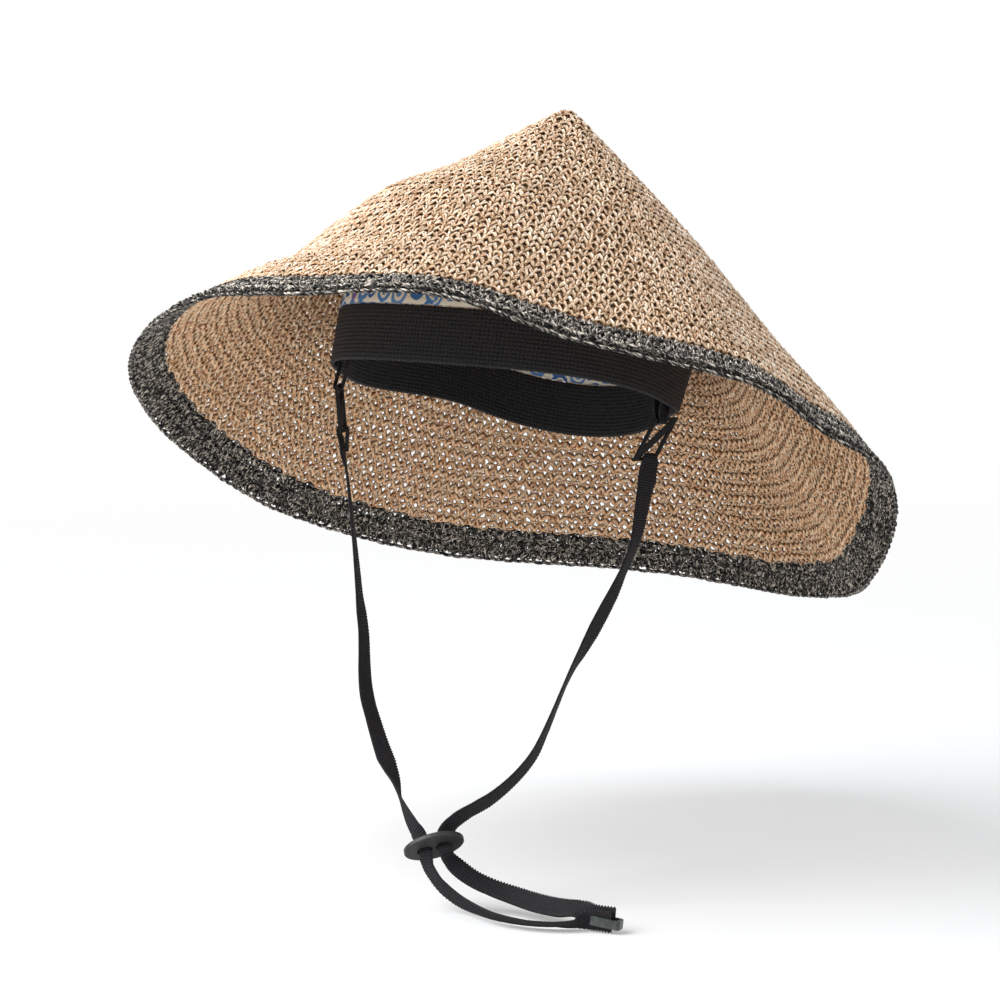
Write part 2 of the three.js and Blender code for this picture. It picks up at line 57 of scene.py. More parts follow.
# The cone's generators every 30 degrees from the front: slope in degrees, slant in mm
GENERATORS = np.array([
    (0, 41.7, 237.5),
    (30, 44.1, 236.0),
    (60, 44.4, 236.0),
    (90, 44.9, 240.0),
    (120, 48.2, 247.0),
    (150, 42.8, 251.5),
    (180, 37.7, 248.5),
    (210, 42.9, 240.0),
    (240, 46.6, 231.5),
    (270, 46.2, 229.0),
    (300, 43.8, 231.5),
    (330, 42.0, 236.0),
])
SLOPE, SLANT = 1, 2

# Swells and dents of the cone: heading, distance from the tip, rise, spread in degrees, spread in mm
SWELLS = np.array([
    (324, 112, 4.2, 26, 26),
    (324, 168, -3.6, 30, 20),
    (78, 100, 2.6, 55, 60),
    (78, 205, 1.8, 40, 32),
    (15, 130, 1.4, 20, 45),
    (150, 130, -2.0, 28, 40),
    (205, 120, 1.8, 26, 45),
    (262, 140, -1.6, 24, 35),
])

# Waves of the rim: heading, lift in mm, spread in degrees
RIM_WAVES = np.array([
    (352, -1.6, 9),
    (11, 2.0, 9),
    (31, -1.2, 10),
    (57, 1.4, 9),
    (70, -2.8, 9),
    (200, 1.2, 14),
    (245, -1.2, 12),
    (334, 1.6, 8),
])

# Routes of the strap: x, y, z in mm and the tape's turn from square to the sight line, in degrees
LEFT_UPPER = np.array([
    (62.2, -4.1, -46.0, 39), (61.3, -5.5, -54.0, 45), (60.2, -6.8, -62.8, 53),
    (58.6, -10.2, -71.5, 64), (56.7, -14.8, -79.2, 66), (54.7, -19.7, -86.8, 55),
    (52.6, -27.9, -95.2, 48), (50.8, -34.5, -102.0, 48), (48.8, -41.0, -108.9, 58),
    (47.0, -46.8, -114.9, 71), (44.3, -51.4, -123.3, 78), (41.2, -54.3, -132.7, 76),
    (37.2, -57.2, -143.9, 70), (33.8, -59.3, -151.9, 62), (30.6, -62.6, -157.4, 57),
    (26.0, -67.6, -163.4, 53), (20.6, -75.9, -169.0, 46), (16.0, -84.6, -172.2, 46),
    (10.8, -91.8, -176.4, 36),
])
LEFT_TAIL = np.array([
    (11.4, -97.6, -190.8, 44), (15.6, -96.0, -195.2, 42), (21.2, -94.8, -199.0, 46),
    (28.2, -93.6, -202.0, 48), (37.8, -94.2, -204.3, 43), (50.9, -98.5, -205.9, 40),
    (63.0, -103.2, -205.9, 43), (71.5, -106.2, -204.9, 50), (78.0, -107.5, -206.4, 2),
    (88.0, -107.6, -207.0, 0),
])
RIGHT_UPPER = np.array([
    (-61.4, -37.8, -38.0, 92), (-59.9, -36.8, -54.0, 88), (-58.5, -36.4, -68.0, 84),
    (-57.2, -36.4, -81.0, 79), (-56.0, -36.8, -92.0, 75), (-54.4, -38.2, -99.6, 66),
    (-52.5, -40.2, -107.9, 63), (-50.0, -45.2, -117.0, 60), (-46.8, -51.7, -125.8, 56),
    (-42.6, -58.3, -134.0, 52), (-38.2, -62.8, -141.1, 52), (-33.6, -67.3, -148.3, 48),
    (-27.8, -73.2, -155.8, 41), (-23.0, -77.9, -161.1, 62), (-18.4, -83.6, -165.6, 88),
    (-13.8, -89.4, -170.1, 104), (-9.0, -94.2, -174.6, 122), (-4.2, -97.4, -179.2, 134),
])
RIGHT_TAIL = np.array([
    (3.6, -102.6, -192.6, 130), (6.4, -101.0, -198.6, 126), (10.0, -99.9, -202.9, 132),
    (15.8, -101.0, -206.2, 137), (25.5, -105.6, -208.4, 133), (39.8, -113.2, -209.6, 122),
    (54.0, -115.8, -210.2, 115), (64.5, -114.2, -210.2, 113), (72.0, -110.8, -210.0, 124),
    (78.0, -109.4, -208.2, 178), (87.0, -109.4, -208.4, 180),
])

# Level direction from the camera to the hat, which the tape's turns are counted from
SIGHT = np.array([-0.375, 0.927, 0.0])


class Side(Enum):
    """Side of the wearer that a fitting or strand is on."""

    LEFT = "left"
    RIGHT = "right"


def unit(vectors: np.ndarray) -> np.ndarray:
    """Vectors of length one.

    Args:
        vectors: one vector or an array of them along the last axis.

    Returns:
        The same directions, each of length one.
    """
    return vectors / np.linalg.norm(vectors, axis=-1, keepdims=True)


def bell(offset: np.ndarray, spread: float | np.ndarray) -> np.ndarray:
    """Bell curve, 1 in the middle and 1/e at the spread."""
    return np.exp(-((offset / spread) ** 2))


def smooth(low: float, high: float, value: np.ndarray) -> np.ndarray:
    """Smooth step from 0 at low to 1 at high."""
    share = np.clip((value - low) / (high - low), 0, 1)
    return share * share * (3 - 2 * share)


def offset_from(heading: np.ndarray, at: float) -> np.ndarray:
    """Heading counted from another one, from -180 to 180 degrees."""
    return np.mod(heading - at + 540, 360) - 180


def line_length(points: np.ndarray) -> np.ndarray:
    """Length along a line of points up to each of them."""
    return np.concatenate([[0], np.cumsum(np.linalg.norm(np.diff(points, axis=0), axis=1))])


def turned(points: np.ndarray, axis: str, degrees: float) -> np.ndarray:
    """Points turned about a row axis through the origin by the right-hand rule.

    Args:
        points: array of points along the last axis.
        axis: "X" or "Y".
        degrees: the turn.

    Returns:
        The turned points.
    """
    matrix = np.array(Matrix.Rotation(np.radians(degrees), 3, axis))
    return points @ matrix.T


@dataclass(frozen=True)
class ConeShape:
    """The worn cone as a surface over heading and distance from the tip.

    In the upright hat a point lies at radius s cos(slope) and height -s sin(slope), with the tip
    rounded as a hyperbola; relief is added along the axis. The hat is then leaned back and its tip
    put in place.
    """

    tip: Point = (3.0, 59.5, 114.2)
    lean_back: float = 25.0
    tip_rounding: float = 3.0
    mean_slope: float = 44.0
    tip_fade: float = 30.0
    rim_power: int = 4
    wall: float = 2.2
    border: float = 19.0

    def generator(self, column: int, heading: np.ndarray) -> np.ndarray:
        """A column of the generator table at any headings, by a closed Catmull-Rom curve."""
        table = GENERATORS[:, column]
        position = np.mod(heading, 360) / (360 / len(table))
        row = np.floor(position).astype(int) % len(table)
        t = position - np.floor(position)
        a, b, c, d = (table[(row + k) % len(table)] for k in (-1, 0, 1, 2))
        return b + 0.5 * t * (c - a + t * (2 * a - 5 * b + 4 * c - d + t * (3 * (b - c) + d - a)))

    def relief(self, heading: np.ndarray, along: np.ndarray, slant: np.ndarray) -> np.ndarray:
        """Height of swells, dents and rim waves, in mm square to the wall."""
        height = np.zeros(np.broadcast(heading, along).shape)
        for at, reach, rise, wide, long in SWELLS:
            height = height + rise * bell(offset_from(heading, at), wide) * bell(along - reach, long)
        for at, lift, wide in RIM_WAVES:
            share = (along / slant) ** self.rim_power
            height = height + lift * bell(offset_from(heading, at), wide) * share
        return height * np.minimum(1, along / self.tip_fade)

    def point(self, heading: np.ndarray, along: np.ndarray, depth: np.ndarray) -> np.ndarray:
        """Worn point at a heading, a distance from the tip and a depth into the wall."""
        slope = np.radians(self.generator(SLOPE, heading))
        slant = self.generator(SLANT, heading)
        drop = np.hypot(along * np.sin(slope), self.tip_rounding) - self.tip_rounding
        rise = self.relief(heading, along, slant) - depth
        height = rise / np.cos(np.radians(self.mean_slope)) - drop
        radius = along * np.cos(slope)
        angle = np.radians(heading)
        upright = np.stack([radius * np.sin(angle), -radius * np.cos(angle), height], axis=-1)
        return turned(upright, "X", -self.lean_back) + np.array(self.tip)

    def normal(self, heading: np.ndarray, along: np.ndarray) -> np.ndarray:
        """Outward normal of the outer face, from points a small turn and a small step apart."""
        turn, step = 0.3, 0.5
        along = np.maximum(along, self.tip_rounding)
        round_way = self.point(heading + turn, along, 0) - self.point(heading - turn, along, 0)
        down_way = self.point(heading, along + step, 0) - self.point(heading, along - step, 0)
        return unit(np.cross(down_way, round_way))

    def room_under(self, points: np.ndarray) -> np.ndarray:
        """Room between points and the wall's inner face, square to the wall."""
        upright = turned(points - np.array(self.tip), "X", self.lean_back)
        heading = np.degrees(np.arctan2(upright[..., 0], -upright[..., 1]))
        slope = np.radians(self.generator(SLOPE, heading))
        along = np.hypot(upright[..., 0], upright[..., 1]) / np.cos(slope)
        inner = turned(
            self.point(heading, along, self.wall) - np.array(self.tip), "X", self.lean_back
        )
        return (inner[..., 2] - upright[..., 2]) * np.cos(slope)


@dataclass(frozen=True)
class BandShape:
    """The headband ring: an oval tipped back, higher over the ears and behind, drawn in below there."""

    half_width: float = 74.0
    half_length: float = 95.0
    height: float = 24.0
    wall: float = 2.0
    lean_back: float = 18.0
    lean_side: float = 2.0
    ear_rise: float = 4.5
    back_rise: float = 12.0
    back_from: float = 85.0
    back_to: float = 140.0
    drawn_in: float = 0.2
    drawn_at: float = 128.0
    drawn_spread: float = 28.0

    def point(self, heading: np.ndarray, inset: np.ndarray, height: np.ndarray) -> np.ndarray:
        """Point at a heading, inset from the outer face, at a height above the ring's middle."""
        angle = np.radians(heading)
        from_front = np.abs(np.mod(heading + 180, 360) - 180)
        drawn = self.drawn_in * bell(from_front - self.drawn_at, self.drawn_spread)
        reach = inset + drawn * (self.height / 2 - height)
        rise = self.back_rise * smooth(self.back_from, self.back_to, from_front)
        level = np.stack(
            np.broadcast_arrays(
                (self.half_width - reach) * np.sin(angle),
                -(self.half_length - reach) * np.cos(angle),
                height - self.ear_rise * np.cos(2 * angle) + rise,
            ),
            axis=-1,
        )
        return turned(turned(level, "Y", self.lean_side), "X", -self.lean_back)


CONE = ConeShape()
BAND = BandShape()


@dataclass(frozen=True)
class Ring:
    """Closed ring of yarn: centre line, outward directions, painted light and shade of both sides, and
    section.

    The section has a radius in mm square to the cone and broad times that along it.
    """

    points: np.ndarray
    outward: np.ndarray
    # Painted light and shade of the outward and inward side at each point
    stitch: np.ndarray
    radius: float
    broad: float = 1.0


def make_object(
    name: str, verts: np.ndarray, faces: np.ndarray, uv: np.ndarray, soft: bool = True
) -> bpy.types.Object:
    """Object from arrays of points in mm and four-cornered faces.

    Args:
        name: object and mesh name.
        verts: (n, 3) points in mm.
        faces: (m, 4) vertex indices, counter-clockwise from outside.
        uv: (m, 4, 2) texture coordinates of the corners.
        soft: smooth shading.

    Returns:
        The linked object.
    """
    mesh = bpy.data.meshes.new(name)
    mesh.vertices.add(len(verts))
    mesh.vertices.foreach_set("co", (verts * MM).astype(np.float32).ravel())
    mesh.loops.add(faces.size)
    mesh.loops.foreach_set("vertex_index", faces.astype(np.int32).ravel())
    mesh.polygons.add(len(faces))
    mesh.polygons.foreach_set("loop_start", np.arange(0, faces.size, 4, dtype=np.int32))
    mesh.polygons.foreach_set("use_smooth", np.full(len(faces), soft))
    layer = mesh.uv_layers.new(name="UVMap")
    layer.uv.foreach_set("vector", uv.astype(np.float32).ravel())
    mesh.update(calc_edges=True)
    mesh.validate()
    built = bpy.data.objects.new(name, mesh)
    bpy.context.collection.objects.link(built)
    return built


def grid_faces(
    rows: int, columns: int, join_rows: bool, join_columns: bool
) -> tuple[np.ndarray, np.ndarray]:
    """Faces and texture coordinates of a grid whose ends may be joined.

    Args:
        rows: points along the first axis.
        columns: points along the second axis.
        join_rows: whether the last row goes on into the first.
        join_columns: likewise for the columns.

    Returns:
        (m, 4) indices and (m, 4, 2) coordinates, row share first and column share second.
    """
    row = np.arange(rows if join_rows else rows - 1)
    column = np.arange(columns if join_columns else columns - 1)
    i, j = (a.ravel() for a in np.meshgrid(row, column, indexing="ij"))
    after_i, after_j = (i + 1) % rows, (j + 1) % columns
    faces = np.stack(
        [i * columns + j, i * columns + after_j, after_i * columns + after_j, after_i * columns + j],
        axis=-1,
    )
    u = np.stack([i, i, i + 1, i + 1], axis=-1) / len(row)
    v = np.stack([j, j + 1, j + 1, j], axis=-1) / len(column)
    return faces, np.stack([u, v], axis=-1)


def yarn_mesh(
    name: str, rings: list[Ring], sides: int, swelling: float = 0.07
) -> bpy.types.Object:
    """Yarn along closed rings: a round tube whose frame follows the cone's outward direction.

    Across the yarn the section point j lies at radius (broad cos a side + sin a up), with
    a = 2 pi j / sides, where side is the tangent crossed with outward. Texture u is the length in
    mm and v goes round, with 0.25 outward. The second map holds the painted light of the outward
    and inward sides, with painted shade where the yarn lies deep in the knit or against other yarn.

    Args:
        name: object name.
        rings: closed rings of yarn.
        sides: sides of the tube.
        swelling: how much the radius wanders, as a share.

    Returns:
        The yarn object.
    """
    counts = np.array([len(ring.points) for ring in rings])
    first = np.repeat(np.concatenate([[0], np.cumsum(counts)[:-1]]), counts)
    total = np.repeat(counts, counts)
    here = np.arange(counts.sum())
    after = first + (here - first + 1) % total
    before = first + (here - first - 1) % total
    centre = np.concatenate([ring.points for ring in rings])
    up = np.concatenate([ring.outward for ring in rings])
    stitch = np.concatenate([ring.stitch for ring in rings])
    tangent = unit(centre[after] - centre[before])
    side = unit(np.cross(tangent, up))
    up = np.cross(side, tangent)
    random = np.random.default_rng(len(here))
    radius = np.repeat([ring.radius for ring in rings], counts)
    swell = radius * (1 + swelling * random.standard_normal(len(here)))
    swell = ((swell + swell[after] + swell[before]) / 3)[:, None, None]
    side = side * np.repeat([ring.broad for ring in rings], counts)[:, None]
    angle = (2 * np.pi * np.arange(sides) / sides)[None, :, None]
    verts = centre[:, None] + swell * (np.cos(angle) * side[:, None] + np.sin(angle) * up[:, None])
    j = np.arange(sides)[None, :]
    next_j = (j + 1) % sides
    low, high = here[:, None] * sides, after[:, None] * sides
    faces = np.stack([low + j, high + j, high + next_j, low + next_j], axis=-1).reshape(-1, 4)
    step = np.linalg.norm(centre[after] - centre, axis=1)
    length = np.concatenate([[0], np.cumsum(step)])
    shape = (len(here), sides)
    start, end = (np.broadcast_to(part[:, None], shape) for part in (length[:-1], length[1:]))
    v0, v1 = (np.broadcast_to((j + k) / sides, shape) for k in (0, 1))
    uv = np.stack([np.stack([start, end, end, start], -1), np.stack([v0, v0, v1, v1], -1)], -1)
    built = make_object(name, verts.reshape(-1, 3), faces, uv.reshape(-1, 4, 2))
    # The second map: painted light and shade of the outward and inward side
    layer = built.data.uv_layers.new(name="Stitch")
    values = np.stack([stitch[here], stitch[after], stitch[after], stitch[here]], axis=1)
    layer.uv.foreach_set("vector", np.repeat(values, sides, axis=0).astype(np.float32).ravel())
    return built


def tape_mesh(
    name: str, centre: np.ndarray, across: np.ndarray, profile: np.ndarray, end_width: float = 0.96
) -> bpy.types.Object:
    """Closed strip along an open line, with its texture coordinates in mm.

    Args:
        name: object name.
        centre: (n, 3) line.
        across: (n, 3) directions across the strip.
        profile: (n, m, 2) section at each point: offset across and offset along the face normal.
        end_width: width of the line that closes each end, as a share of the section's.

    Returns:
        The strip, with both ends closed by flattening the section to a line.
    """
    tangent = unit(np.gradient(centre, axis=0))
    across = unit(across - (across * tangent).sum(-1, keepdims=True) * tangent)
    normal = np.cross(tangent, across)
    shut = profile * np.array([end_width, 0.0])
    centre = np.concatenate([centre[:1], centre, centre[-1:]])
    across = np.concatenate([across[:1], across, across[-1:]])
    normal = np.concatenate([normal[:1], normal, normal[-1:]])
    profile = np.concatenate([shut[:1], profile, shut[-1:]])
    verts = (
        centre[:, None]
        + profile[..., :1] * across[:, None]
        + profile[..., 1:] * normal[:, None]
    )
    rows, columns = verts.shape[:2]
    faces, uv = grid_faces(rows, columns, False, True)
    uv[..., 0] = np.interp(uv[..., 0] * (rows - 1), np.arange(rows), line_length(centre))
    full_width = rows // 3
    place = np.concatenate([profile[full_width, :, 0], profile[full_width, :1, 0]])
    uv[..., 1] = place[np.rint(uv[..., 1] * columns).astype(int)]
    return make_object(name, verts.reshape(-1, 3), faces, uv)


class NodeTree:
    """Short helper around a node tree: adds nodes and joins their sockets."""

    MIX_INPUTS = (0, 6, 7)
    MIX_RESULT = 2

    def __init__(self, tree: bpy.types.NodeTree) -> None:
        self.tree = tree

    def add(self, kind: str, inputs: dict | None = None, **settings: object) -> bpy.types.Node:
        """Adds a node.

        Args:
            kind: node type without its ShaderNode prefix.
            inputs: socket name or index to a value or to a socket to join from.
            settings: properties of the node.

        Returns:
            The node.
        """
        node = self.tree.nodes.new(f"ShaderNode{kind}")
        for key, value in settings.items():
            setattr(node, key, value)
        for key, value in (inputs or {}).items():
            if isinstance(value, Socket):
                self.join(value, node.inputs[key])
            else:
                node.inputs[key].default_value = value
        return node

    def math(self, operation: str, *values: Socket | float) -> Socket:
        """Output of a maths node over numbers and sockets."""
        node = self.add("Math", dict(enumerate(values)), operation=operation)
        return node.outputs[0]

    def ramp(self, value: Socket, *stops: tuple[float, Colour]) -> Socket:
        """Colour of a ramp whose stops are (position, (r, g, b))."""
        node = self.add("ValToRGB", {"Fac": value})
        elements = node.color_ramp.elements
        while len(elements) < len(stops):
            elements.new(0.5)
        for element, (position, colour) in zip(elements, stops):
            element.position = position
            element.color = (*colour, 1)
        return node.outputs["Color"]

    def mix(self, share: Socket, first: Socket | Colour, second: Socket | Colour) -> Socket:
        """Mix of two colours."""
        node = self.add("Mix", data_type="RGBA")
        for index, value in zip(self.MIX_INPUTS, (share, first, second)):
            if isinstance(value, tuple):
                node.inputs[index].default_value = (*value, 1)
            else:
                self.join(value, node.inputs[index])
        return node.outputs[self.MIX_RESULT]

    def join(self, source: Socket, target: Socket) -> None:
        """Joins an output to an input."""
        self.tree.links.new(source, target)


def new_group(
    name: str, inputs: dict, outputs: dict
) -> tuple[bpy.types.NodeTree, NodeTree, dict, dict]:
    """Node group with named sockets.

    Args:
        name: group name.
        inputs: socket name to (socket kind, default).
        outputs: socket name to socket kind.

    Returns:
        The group, its helper, its input sockets and its output sockets.
    """
    tree = bpy.data.node_groups.new(name, "ShaderNodeTree")
    for key, (kind, default) in inputs.items():
        socket = tree.interface.new_socket(key, in_out="INPUT", socket_type=f"NodeSocket{kind}")
        socket.default_value = default
    for key, kind in outputs.items():
        tree.interface.new_socket(key, in_out="OUTPUT", socket_type=f"NodeSocket{kind}")
    source = tree.nodes.new("NodeGroupInput")
    sink = tree.nodes.new("NodeGroupOutput")
    return tree, NodeTree(tree), source.outputs, sink.inputs


@dataclass(frozen=True)
class YarnFinish:
    """Look of a twisted paper yarn.

    The streaks go from shade through body and light to the palest colour: partly the paper's own
    tone and the dark yarn's beige flecks, partly painted highlights on the twist's ridges and
    painted shade in its grooves. The inside tint is painted bounce light and shade on the inward
    side, and the two powers make green and blue fade faster in painted shade, so it turns browner.
    """

    name: str
    shade: Colour
    body: Colour
    light: Colour
    fleck_and_highlight: Colour
    fleck_and_highlight_from: float
    inward_painted_tint: Colour
    gloss: float
    painted_shade_power: tuple[float, float]
    streaks: float
    patch_weight: float = 0.35
    shade_at: float = 0.36
    body_at: float = 0.47
    fleck_and_highlight_edge: float = 0.06
    roughness: float = 0.5
    bump: float = 0.9
    bump_depth: float = 0.0003


@dataclass(frozen=True)
class PlainFinish:
    """Look of a plain moulded or woven piece, whose grain goes from its colour to its accent."""

    name: str
    colour: Colour
    accent: Colour
    roughness: float
    grain: float
    bump: float
    gloss: float
    colour_at: float = 0.35
    accent_at: float = 0.68
    rough_spread: float = 0.2
    bump_depth: float = 0.0003


@dataclass(frozen=True)
class RibFinish:
    """Look of a woven elastic: pitches in mm of its long ribs and cross ribs, and their weights."""

    name: str
    colour: Colour
    long_pitch: float
    cross_pitch: float
    long_weight: float
    cross_weight: float
    both_weight: float
    bump: float
    roughness: float = 0.7
    gloss: float = 0.22
    grain: float = 1.4
    # Painted shade in the grooves and painted highlight on the ribs: how far the rib height moves the
    # colour
    rib_painted_shade: float = 0.16
    # Ramp stops, place and share of the colour, from the darkest to the palest tone, set by grain and the
    # painted rib shade
    dark: tuple[float, float] = (0.3, 0.5)
    pale: tuple[float, float] = (0.75, 1.8)
    bump_depth: float = 0.00025


@dataclass(frozen=True)
class PrintFinish:
    """Look of the printed cotton: one motif in each cell, its sizes in shares of a cell.

    A motif is either a round in a ring or a petal crossed by bars.
    """

    name: str = "Printed cotton"
    cloth: Colour = (0.66, 0.60, 0.48)
    inks: tuple[tuple[float, Colour], ...] = (
        (0.0, (0.030, 0.085, 0.25)), (0.45, (0.045, 0.15, 0.36)),
        (0.80, (0.09, 0.22, 0.42)), (0.93, (0.17, 0.08, 0.24)),
    )
    cells: float = 0.105
    cell_spread: float = 0.45
    warp: float = 0.13
    warp_reach: float = 3.2
    disc: float = 0.34
    ring: float = 0.49
    ring_half: float = 0.07
    petal: float = 0.60
    bars: float = 19.0
    bar_from: float = -0.35
    rounds: float = 0.45
    weave: float = 1.6
    roughness: float = 0.88
    gloss: float = 0.2
    bump: float = 0.25
    bump_depth: float = 0.0002


@dataclass(frozen=True)
class TwistLook:
    """Twist of a paper strip: mm a turn, grain along it, and painted light of its faces and flanks."""

    pitch: float = 9.0
    streak_grain: float = 0.34
    patch_grain: float = 0.23
    # Painted light of the faces and painted shade of the flanks, as shares
    face: float = 0.92
    painted_flank_shade: float = 0.065


STRAW = YarnFinish(
    name="Straw yarn",
    shade=(0.38, 0.18, 0.085),
    body=(1.0, 0.65, 0.42),
    light=(1.0, 0.88, 0.70),
    # Palest streak colour: a painted highlight on the twist's ridges
    fleck_and_highlight=(1.0, 0.97, 0.90),
    fleck_and_highlight_from=0.60,
    # Painted warm bounce light on the inward side
    inward_painted_tint=(0.97, 0.80, 0.63),
    gloss=0.22,
    painted_shade_power=(1.2, 1.5),
    streaks=1.9,
)
CHARCOAL = YarnFinish(
    name="Charcoal yarn",
    shade=(0.004, 0.004, 0.004),
    body=(0.023, 0.0225, 0.022),
    light=(0.15, 0.143, 0.134),
    # Palest streak colour: the yarn's beige flecks and painted highlights
    fleck_and_highlight=(1.0, 0.90, 0.78),
    fleck_and_highlight_from=0.60,
    # Painted shade on the inward side
    inward_painted_tint=(0.64, 0.62, 0.59),
    gloss=0.12,
    painted_shade_power=(1.0, 1.0),
    streaks=1.6,
)
BAND_BLACK = RibFinish(
    "Headband elastic", (0.0150, 0.0150, 0.0160), long_pitch=1.7, cross_pitch=1.9,
    long_weight=0.6, cross_weight=0.6, both_weight=0.5, bump=0.9,
)
TAPE_BLACK = RibFinish(
    "Strap elastic", (0.0125, 0.0115, 0.0140), long_pitch=2.0, cross_pitch=1.08,
    long_weight=0.1, cross_weight=0.55, both_weight=0.25, bump=0.8,
)
SATIN = PlainFinish(
    "Tab satin", (0.005, 0.005, 0.006), (0.009, 0.009, 0.010),
    roughness=0.5, grain=1800, bump=0.15, gloss=0.15,
)
LINK_PLASTIC = PlainFinish(
    "Link plastic", (0.005, 0.005, 0.006), (0.008, 0.008, 0.009),
    roughness=0.45, grain=400, bump=0.02, gloss=0.2,
)
STOPPER_PLASTIC = PlainFinish(
    "Stopper plastic", (0.021, 0.022, 0.022), (0.031, 0.032, 0.032),
    roughness=0.45, grain=500, bump=0.05, gloss=0.3,
)
CLIP_PLASTIC = PlainFinish(
    "Clip plastic", (0.022, 0.028, 0.026), (0.050, 0.060, 0.056),
    roughness=0.35, grain=300, bump=0.05, gloss=0.5,
)
COTTON = PrintFinish()

Finish = YarnFinish | PlainFinish | RibFinish | PrintFinish


class Finishes:
    """Builds the materials, each from its finish."""

    def __init__(self, look: TwistLook = TwistLook()) -> None:
        self.look = look
        self.twist = self._twist_group()
        self.made: dict[str, bpy.types.Material] = {}

    def of(self, finish: Finish) -> bpy.types.Material:
        """Material of a finish, made the first time that it is asked for."""
        if finish.name not in self.made:
            makers = {
                YarnFinish: self._yarn, PlainFinish: self._plain,
                RibFinish: self._ribbed, PrintFinish: self._printed,
            }
            self.made[finish.name] = makers[type(finish)](finish)
        return self.made[finish.name]

    def _twist_group(self) -> bpy.types.NodeTree:
        """Twisted strip: streaks round the yarn, and the painted light and shade at each spot.

        The flanks get the deepest painted shade. The outward and inward sides take their painted light
        from the second map, because one side of the knit is open and the other lies against other yarn.
        """
        look = self.look
        tree, nodes, source, sink = new_group(
            "Paper twist",
            {"Pitch": ("Float", look.pitch), "Streaks": ("Float", STRAW.streaks)},
            {"Streak": "Float", "Light": "Float", "Patch": "Float", "Inside": "Float"},
        )
        along, across = self._uv_parts(nodes)
        turns = nodes.math("DIVIDE", along, source["Pitch"])
        angle = nodes.math("MULTIPLY", nodes.math("ADD", turns, across), TURN)
        place = nodes.add("CombineXYZ", {
            0: nodes.math("MULTIPLY", nodes.math("COSINE", angle), source["Streaks"]),
            1: nodes.math("MULTIPLY", nodes.math("SINE", angle), source["Streaks"]),
            2: nodes.math("MULTIPLY", along, look.streak_grain),
        })
        streak = nodes.add("TexNoise", {"Vector": place.outputs[0], "Scale": 1.0, "Detail": 3.0})
        patch_place = nodes.add("CombineXYZ", {2: nodes.math("MULTIPLY", along, look.patch_grain)})
        patch = nodes.add("TexNoise", {"Vector": patch_place.outputs[0], "Scale": 1.0, "Detail": 1.0})
        # Painted light and shade: the faces take theirs from the second map, the flanks stay darkest
        outer, inner = self._uv_parts(nodes, "Stitch")
        facing = nodes.math("SINE", nodes.math("MULTIPLY", across, TURN))
        away = nodes.math("MULTIPLY", facing, -1.0)
        outward = nodes.math("MULTIPLY", nodes.math("MAXIMUM", facing, 0.0), outer)
        inward = nodes.math("MULTIPLY", nodes.math("MAXIMUM", away, 0.0), inner)
        painted_flank_shade = nodes.math("MULTIPLY", nodes.math("ADD", outer, inner), look.painted_flank_shade)
        light = nodes.math("MULTIPLY_ADD", nodes.math("ADD", outward, inward), look.face, painted_flank_shade)
        nodes.join(streak.outputs[0], sink["Streak"])
        nodes.join(light, sink["Light"])
        nodes.join(patch.outputs[0], sink["Patch"])
        nodes.join(inward, sink["Inside"])
        return tree

    def _yarn(self, finish: YarnFinish) -> bpy.types.Material:
        """Material of a paper yarn."""
        material, nodes, shader = self._start(finish.name)
        out = nodes.add("Group", {"Streaks": finish.streaks}, node_tree=self.twist).outputs
        streak = nodes.math("SUBTRACT", out["Streak"], finish.patch_weight / 2)
        # Streak colour: the paper's tone and the dark yarn's beige flecks, with painted highlights on the
        # twist's ridges and painted shade in its grooves
        base = nodes.ramp(
            nodes.math("MULTIPLY_ADD", out["Patch"], finish.patch_weight, streak),
            (finish.shade_at, finish.shade), (finish.body_at, finish.body),
            (finish.fleck_and_highlight_from - finish.fleck_and_highlight_edge, finish.light), (finish.fleck_and_highlight_from, finish.fleck_and_highlight),
        )
        # Painted light and shade: the streak colour times the painted light, green and blue fading faster
        # so shade turns browner, and a painted bounce tint on the inward side
        light = out["Light"]
        green, blue = (nodes.math("POWER", light, power) for power in finish.painted_shade_power)
        painted_shade_rgb = nodes.add("CombineXYZ", {0: light, 1: green, 2: blue}).outputs[0]
        painted_lit = nodes.add("VectorMath", {0: base, 1: painted_shade_rgb}, operation="MULTIPLY").outputs[0]
        bounce_tinted = nodes.add("VectorMath", {0: painted_lit, 1: finish.inward_painted_tint}, operation="MULTIPLY")
        colour = nodes.mix(out["Inside"], painted_lit, bounce_tinted.outputs[0])
        shader.inputs["Roughness"].default_value = finish.roughness
        self._dress(nodes, shader, finish, colour, out["Streak"])
        return material

    def _ribbed(self, finish: RibFinish) -> bpy.types.Material:
        """Material of a woven elastic whose texture coordinates are in mm."""
        material, nodes, shader = self._start(finish.name)
        along, across = self._uv_parts(nodes)
        long_rib = nodes.math("COSINE", nodes.math("MULTIPLY", across, TURN / finish.long_pitch))
        cross_rib = nodes.math("COSINE", nodes.math("MULTIPLY", along, TURN / finish.cross_pitch))
        height = nodes.math("MULTIPLY", nodes.math("MULTIPLY", long_rib, cross_rib), finish.both_weight)
        height = nodes.math("MULTIPLY_ADD", long_rib, finish.long_weight, height)
        height = nodes.math("MULTIPLY_ADD", cross_rib, finish.cross_weight, height)
        uv = nodes.add("UVMap", uv_map="UVMap").outputs["UV"]
        grain = nodes.add("TexNoise", {"Vector": uv, "Scale": finish.grain, "Detail": 2.0}).outputs[0]
